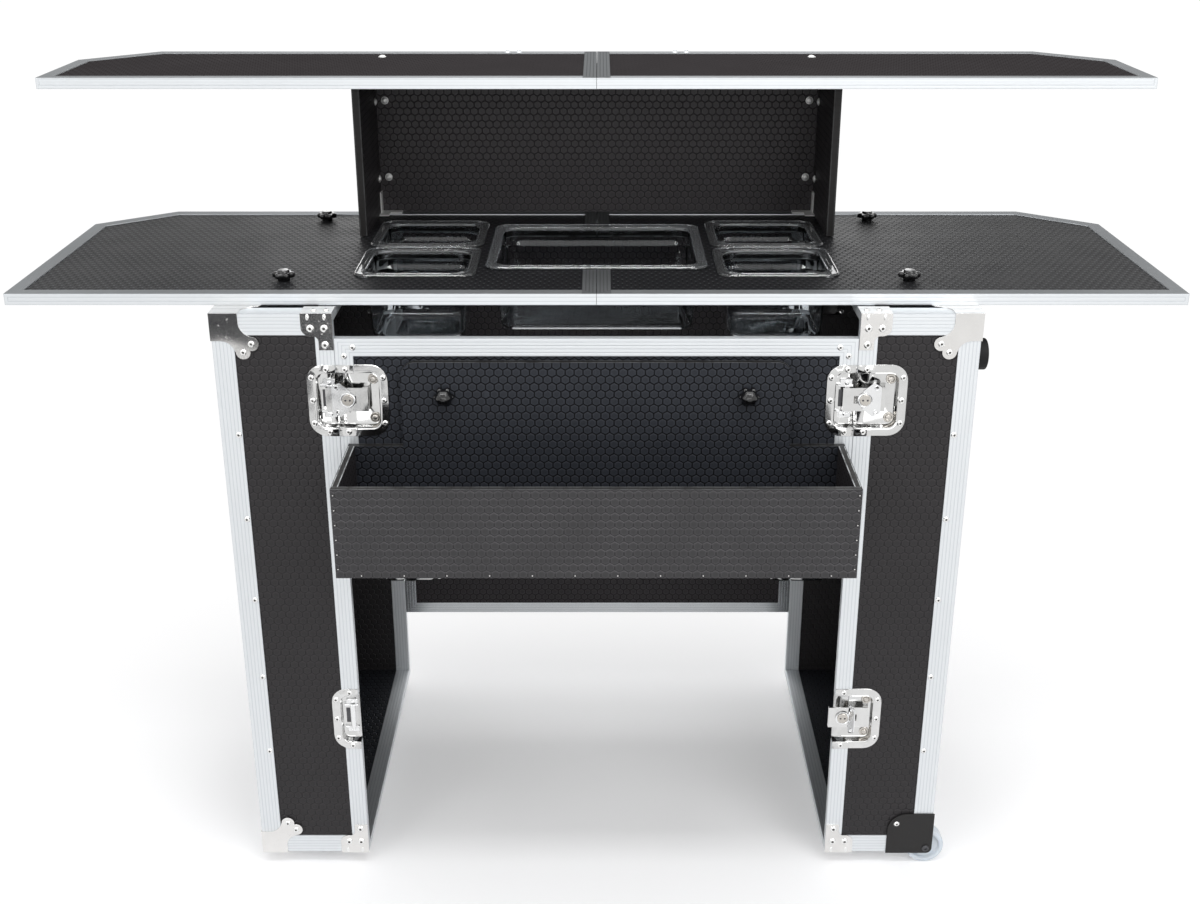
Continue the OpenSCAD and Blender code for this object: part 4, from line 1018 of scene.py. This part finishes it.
bm = bmesh.new()
# dark discs on the posts where the dimples are: painted shade of the hollows
dimpleShades = bmesh.new()
for latch in driveHalves:
    turned(bm, latch.stand(latchShape["pivot"], 0, 0), latchShape["post"], 28)
    across, up, depth = latchShape["bossAt"]
    beside, sunk = latchShape["dimpleAt"]
    for sign in (-1, 1):
        turned(bm, latch.stand(across, sign * up, depth), latchShape["boss"], 20)
        turned(dimpleShades, latch.stand(latchShape["pivot"] + sign * beside, 0, sunk), latchShape["dimple"], 12)
makePiece("drive_posts", bm, "case", "post", ["latch_drives"])
makePiece("dish_slot_shades", slotShades, "case", "bolt")
makePiece("post_dimple_shades", dimpleShades, "case", "bolt")

# wings: a hub ring round the post and a plate with two finger holes
wingShape = {
    "hinge": -9.0, "thick": 1.5, "depth": 2.0, "hub": 11, "bore": 5.1, "lift": 60,
    # upper half of the flap, lower half of the hub's shoulders
    "flap": [(-9, 23.3), (-11, 24.7), (-13.2, 23.8), (-19.6, 20.6), (-21.4, 18.9), (-22, 16.5)],
    "shoulder": [(-9, -23.3), (3.3, -13)], "liftedShoulder": [(-9, -6.3)],
    "hubArc": (-72.5, 72.5, 14),  # degrees from and to, steps
    "holes": [(-15.4, 18), (-15.4, -18)], "holeRadius": 2.2,
    "eyelet": [(2.3, -0.1), (2.5, 0.4), (3.2, 0.45), (3.7, -0.1)],
    "ring": [(8.6, -0.2), (8.8, 0.45), (9.6, 0.8), (10.5, 0.6), (10.9, -0.2)],  # raised, round the post
}


def makeWing(letter, flipped, lift):
    latch = latches[letter]
    side = -1 if flipped else 1
    pivot = latchShape["pivot"]
    hinge = wingShape["hinge"]
    lean = math.radians(lift)

    def onHub(a, b, depth):
        return latch.at(pivot + side * a, side * b, depth + wingShape["depth"])

    def onFlap(a, b, depth):
        reach = hinge - a
        across = hinge - reach * math.cos(lean) - depth * math.sin(lean)
        out = reach * math.sin(lean) - depth * math.cos(lean)
        return latch.at(pivot + side * across, side * b, wingShape["depth"] - out)

    bm = bmesh.new()
    shoulder = wingShape["liftedShoulder" if lift else "shoulder"]
    hub = shoulder + arc((0, 0), wingShape["hub"], *wingShape["hubArc"])
    hub += [(a, -b) for a, b in reversed(shoulder)]
    plate(bm, onHub, hub, [circle((0, 0), wingShape["bore"], 20)], wingShape["thick"])
    flap = wingShape["flap"] + [(a, -b) for a, b in reversed(wingShape["flap"])]
    holes = [circle(spot, wingShape["holeRadius"], 12) for spot in wingShape["holes"]]
    plate(bm, onFlap, flap, holes, wingShape["thick"])
    for a, b in wingShape["holes"]:
        spot = onFlap(a, b, 0)
        hollowTurned(bm, standing(spot, onFlap(a, b, -1) - spot), wingShape["eyelet"], 16)
    hollowTurned(bm, latch.stand(pivot, 0, wingShape["depth"]), wingShape["ring"], 32)
    makePiece("wing_" + letter + "_plate", bm, "wing_" + letter, "chrome", ["latch_wing_" + letter])


for letter in latches:
    makeWing(letter, letter in "bc", wingShape["lift"] if letter == "c" else 0.0)
print("latches made")

# flat rivet tails of the rear latches inside the rear panel and the legs
rivetTail = [(4.4, 0), (4.2, 0.5), (2.6, 0.9), (2.2, 0.5), (1.4, 0.5)]
bm = bmesh.new()
for letter in "defg":
    latch = latches[letter]
    for across in (latchShape["drive"] - latchShape["rim"] / 2, latchShape["rim"] / 2 - latchShape["keeper"]):
        for sign in (1, 0, -1):
            up = sign * latchShape["height"] * latchShape["rivetUp"]
            point = (latch.x + across * mm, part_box("rear_panel")[0].y, latch.z + up * mm)
            turned(bm, standing(point, (0, -1, 0)), rivetTail, 14)
makePiece("rivet_tails", bm, "case", "rivet")

# brads along the rail's front board
bradRow = {
    "step": 57 * mm, "start": 0.6, "inset": 3.4 * mm, "rows": 6, "sunk": 0.2 * mm,
    "profile": [(1.0, 0), (0.9, 0.22), (0.5, 0.25)],
}
low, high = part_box("rail_front")
bm = bmesh.new()
spots = []
for i in range(int((high.x - low.x) / bradRow["step"])):
    spots.append((low.x + bradRow["step"] * (i + bradRow["start"]), low.z + bradRow["inset"]))
for i in range(bradRow["rows"]):
    up = low.z + (high.z - low.z) * (i + bradRow["start"]) / bradRow["rows"]
    spots += [(low.x + bradRow["inset"], up), (high.x - bradRow["inset"], up)]
for x, z in spots:
    turned(bm, standing((x, low.y + bradRow["sunk"], z), (0, -1, 0)), bradRow["profile"], 10)
makePiece("rail_brads", bm, "rail", "plated")

# dome bolts of the riser and fasteners of the upper counter
domeBolt = {
    "profile": [
        (6.2, 0), (6.2, 0.8), (5.1, 1.0), (4.9, 1.5), (4.3, 2.4), (2.9, 3.1), (1.3, 3.2), (1.0, 2.4),
        (0.5, 2.3),
    ],
    "widest": 11 * mm,  # larger solids of these nodes are brackets and trims
}
bm = bmesh.new()
for node in ("riser_brackets", "upper_trims"):
    for low, high in islandBoxes(node):
        if max(high - low) <= domeBolt["widest"]:
            outward = (-1 if low.x > 0 else 1, -1, 1)
            turned(bm, standing(*seated(low, high, outward)), domeBolt["profile"], 20)
makePiece("dome_bolts", bm, "riser", "bracket")

# swinging handle: moulded grip with finger swells between steel arms that turn on pins
gripShape = {
    "radius": 6.9, "swells": 4, "swell": 0.9, "half": 52, "steps": 48,
    "above": 7,  # the grip's axis above its lowest point
    "end": [(2.0, 56.8), (5.4, 56.2), (6.6, 54.0)],
    "arm": (4.0, 5, -2, 1),  # radius, start over the grip's axis, where its end begins and stops at the pin
    "eye": (5.2, 0.8), "pin": (2.5, 0.4),  # radius, bevel
}
low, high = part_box("handle_grip")
pivot = pivotOf("handle_swing")
gripZ = low.z + gripShape["above"] * mm
half, swell, steps = [gripShape[key] for key in ("half", "swell", "steps")]
bm = bmesh.new()
profile = [(r, -y) for r, y in gripShape["end"]]
for i in range(steps + 1):
    wave = swell * (0.5 - 0.5 * math.cos(turn * gripShape["swells"] * i / steps))
    profile.append((gripShape["radius"] - swell + wave, 2 * half * i / steps - half))
profile += reversed(gripShape["end"])
turned(bm, standing((pivot.x, pivot.y, gripZ), (0, 1, 0)), profile, 24)
makePiece("handle_moulded_grip", bm, "handle", "rubber", ["handle_grip"])

arm, start, near, far = gripShape["arm"]
(eye, bevel), (pin, pinBevel) = gripShape["eye"], gripShape["pin"]
rise = (pivot.z - gripZ) / mm
reach = (high.y - pivot.y) / mm - half + eye
armProfile = [(arm, start), (arm, rise + near), (arm - bevel, rise + far)]
pinProfile = [
    (eye - bevel, 0), (eye, bevel), (eye, 2 * eye - bevel), (eye - bevel, 2 * eye), (pin, 2 * eye),
    (pin, reach - pinBevel), (pin - pinBevel, reach),
]
bm = bmesh.new()
for side in (-1, 1):
    turned(bm, standing((pivot.x, pivot.y + side * half * mm, gripZ), (0, 0, 1)), armProfile, 16)
    end = (pivot.x, pivot.y + side * (half - eye) * mm, pivot.z)
    turned(bm, standing(end, (0, side, 0)), pinProfile, 20)
makePiece("handle_arms", bm, "handle", "plated", ["handle_grip"])
print("rail brads and handle made")

# floor, background and soft studio light
studio = {
    "matt": {"Roughness": 0.9, "Specular IOR Level": 0.1},
    "floorTone": (0.84, 0.84, 0.85), "floorCloud": (0.8, 3), "cloudTone": 0.985,
    "floorHalf": 30, "floorLift": 0.28,
    "shadowHalf": (0.53, 0.28),  # round this the floor keeps its shadow
    "shadowFade": (0.05, 0.7),
    "sky": 0.52,
    "aim": Vector((0, 0, 0.6)),
    "lamps": [
        # place, length, depth, watts
        ((1.9, -2.9, 2.9), 2.4, 2.4, 44),
        ((-2.4, -2.2, 2.4), 2.2, 2.2, 16),
        ((0.0, 0.6, 4.0), 3.0, 3.0, 30),
        ((0.0, 3.2, 2.2), 2.4, 2.4, 28),
        ((0.0, -1.3, 3.3), 2.6, 0.4, 34),
        ((0.0, -3.2, 0.45), 2.2, 0.7, 7),
    ],
    # dark cards on the floor that only mirrors see: low corner, high corner
    "cards": [
        ((-1.9, -4.4), (-0.72, -2.78)), ((-1.02, -2.775), (-0.72, -2.5)),
        ((-0.68, -2.25), (-0.5, -1.95)), ((-0.93, -2.45), (-0.82, -2.2)),
    ],
    "cardTones": ((0.006, 0.007, 0.010), (0.03, 0.032, 0.038)),
    "cardCloud": (5, 3), "cardLift": 3 * mm,
}


def stageSheet(name, low, high, level, material):
    bm = bmesh.new()
    corners = [low, (high[0], low[1]), high, (low[0], high[1])]
    bm.faces.new([bm.verts.new((x, y, level)) for x, y in corners])
    sheet = meshObject(name, bm, material)
    return sheet


def seenRays(tree):
    rays = addNode(tree, "LightPath", {})
    found = calc("ADD", rays["Is Glossy Ray"], rays["Is Transmission Ray"])
    return calc("MINIMUM", calc("ADD", found, rays["Is Camera Ray"]), 1.0)


material, shader, coords = startMaterial("paleFloor", studio["matt"])
place = split(coords["Object"])
gaps = [minus(calc("ABSOLUTE", place[i]), studio["shadowHalf"][i]) for i in range(2)]
away = diagonal([calc("MAXIMUM", gap, 0.0) for gap in gaps])
seen = seenRays(material.node_tree)
far = times(spread(away, *studio["shadowFade"]), seen)
cloud = grain(coords, *studio["floorCloud"])
near = tint(cloud, studio["floorTone"], scaled(studio["floorTone"], studio["cloudTone"]))
lift = times(minus(seen, far), studio["floorLift"])
glow = calc("ADD", lift, far)
feed(shader, {"Base Color": tint(far, near, (0, 0, 0)), "Emission Color": (1, 1, 1), "Emission Strength": glow})
half = studio["floorHalf"]
stageSheet("studioFloor", (-half, -half), (half, half), cadBox[0][2], material)

material, shader, coords = startMaterial("darkCard", studio["matt"])
cloud = grain(coords, *studio["cardCloud"])
feed(shader, {"Base Color": tint(cloud, *studio["cardTones"])})
for i, (low, high) in enumerate(studio["cards"]):
    card = stageSheet("darkCard%d" % i, low, high, cadBox[0][2] + studio["cardLift"], material)
    for rays in ("camera", "diffuse", "shadow", "transmission"):
        setattr(card, "visible_" + rays, False)

world = bpy.data.worlds.new("paleRoom")
bpy.context.scene.world = world
world.use_nodes = True
background = world.node_tree.nodes["Background"]
strength = spread(seenRays(world.node_tree), 0.0, 1.0, studio["sky"], 1.0)
feed(background, {"Color": (1, 1, 1), "Strength": strength})

for i, (place, length, depth, watts) in enumerate(studio["lamps"]):
    lamp = bpy.data.lights.new("softLamp%d" % i, "AREA")
    lamp.shape = "RECTANGLE"
    lamp.size = length
    lamp.size_y = depth
    lamp.energy = watts
    holder = addObject("softLamp%d" % i, lamp)
    holder.location = place
    holder.rotation_euler = (studio["aim"] - Vector(place)).to_track_quat("-Z", "Y").to_euler()
print("studio lit")
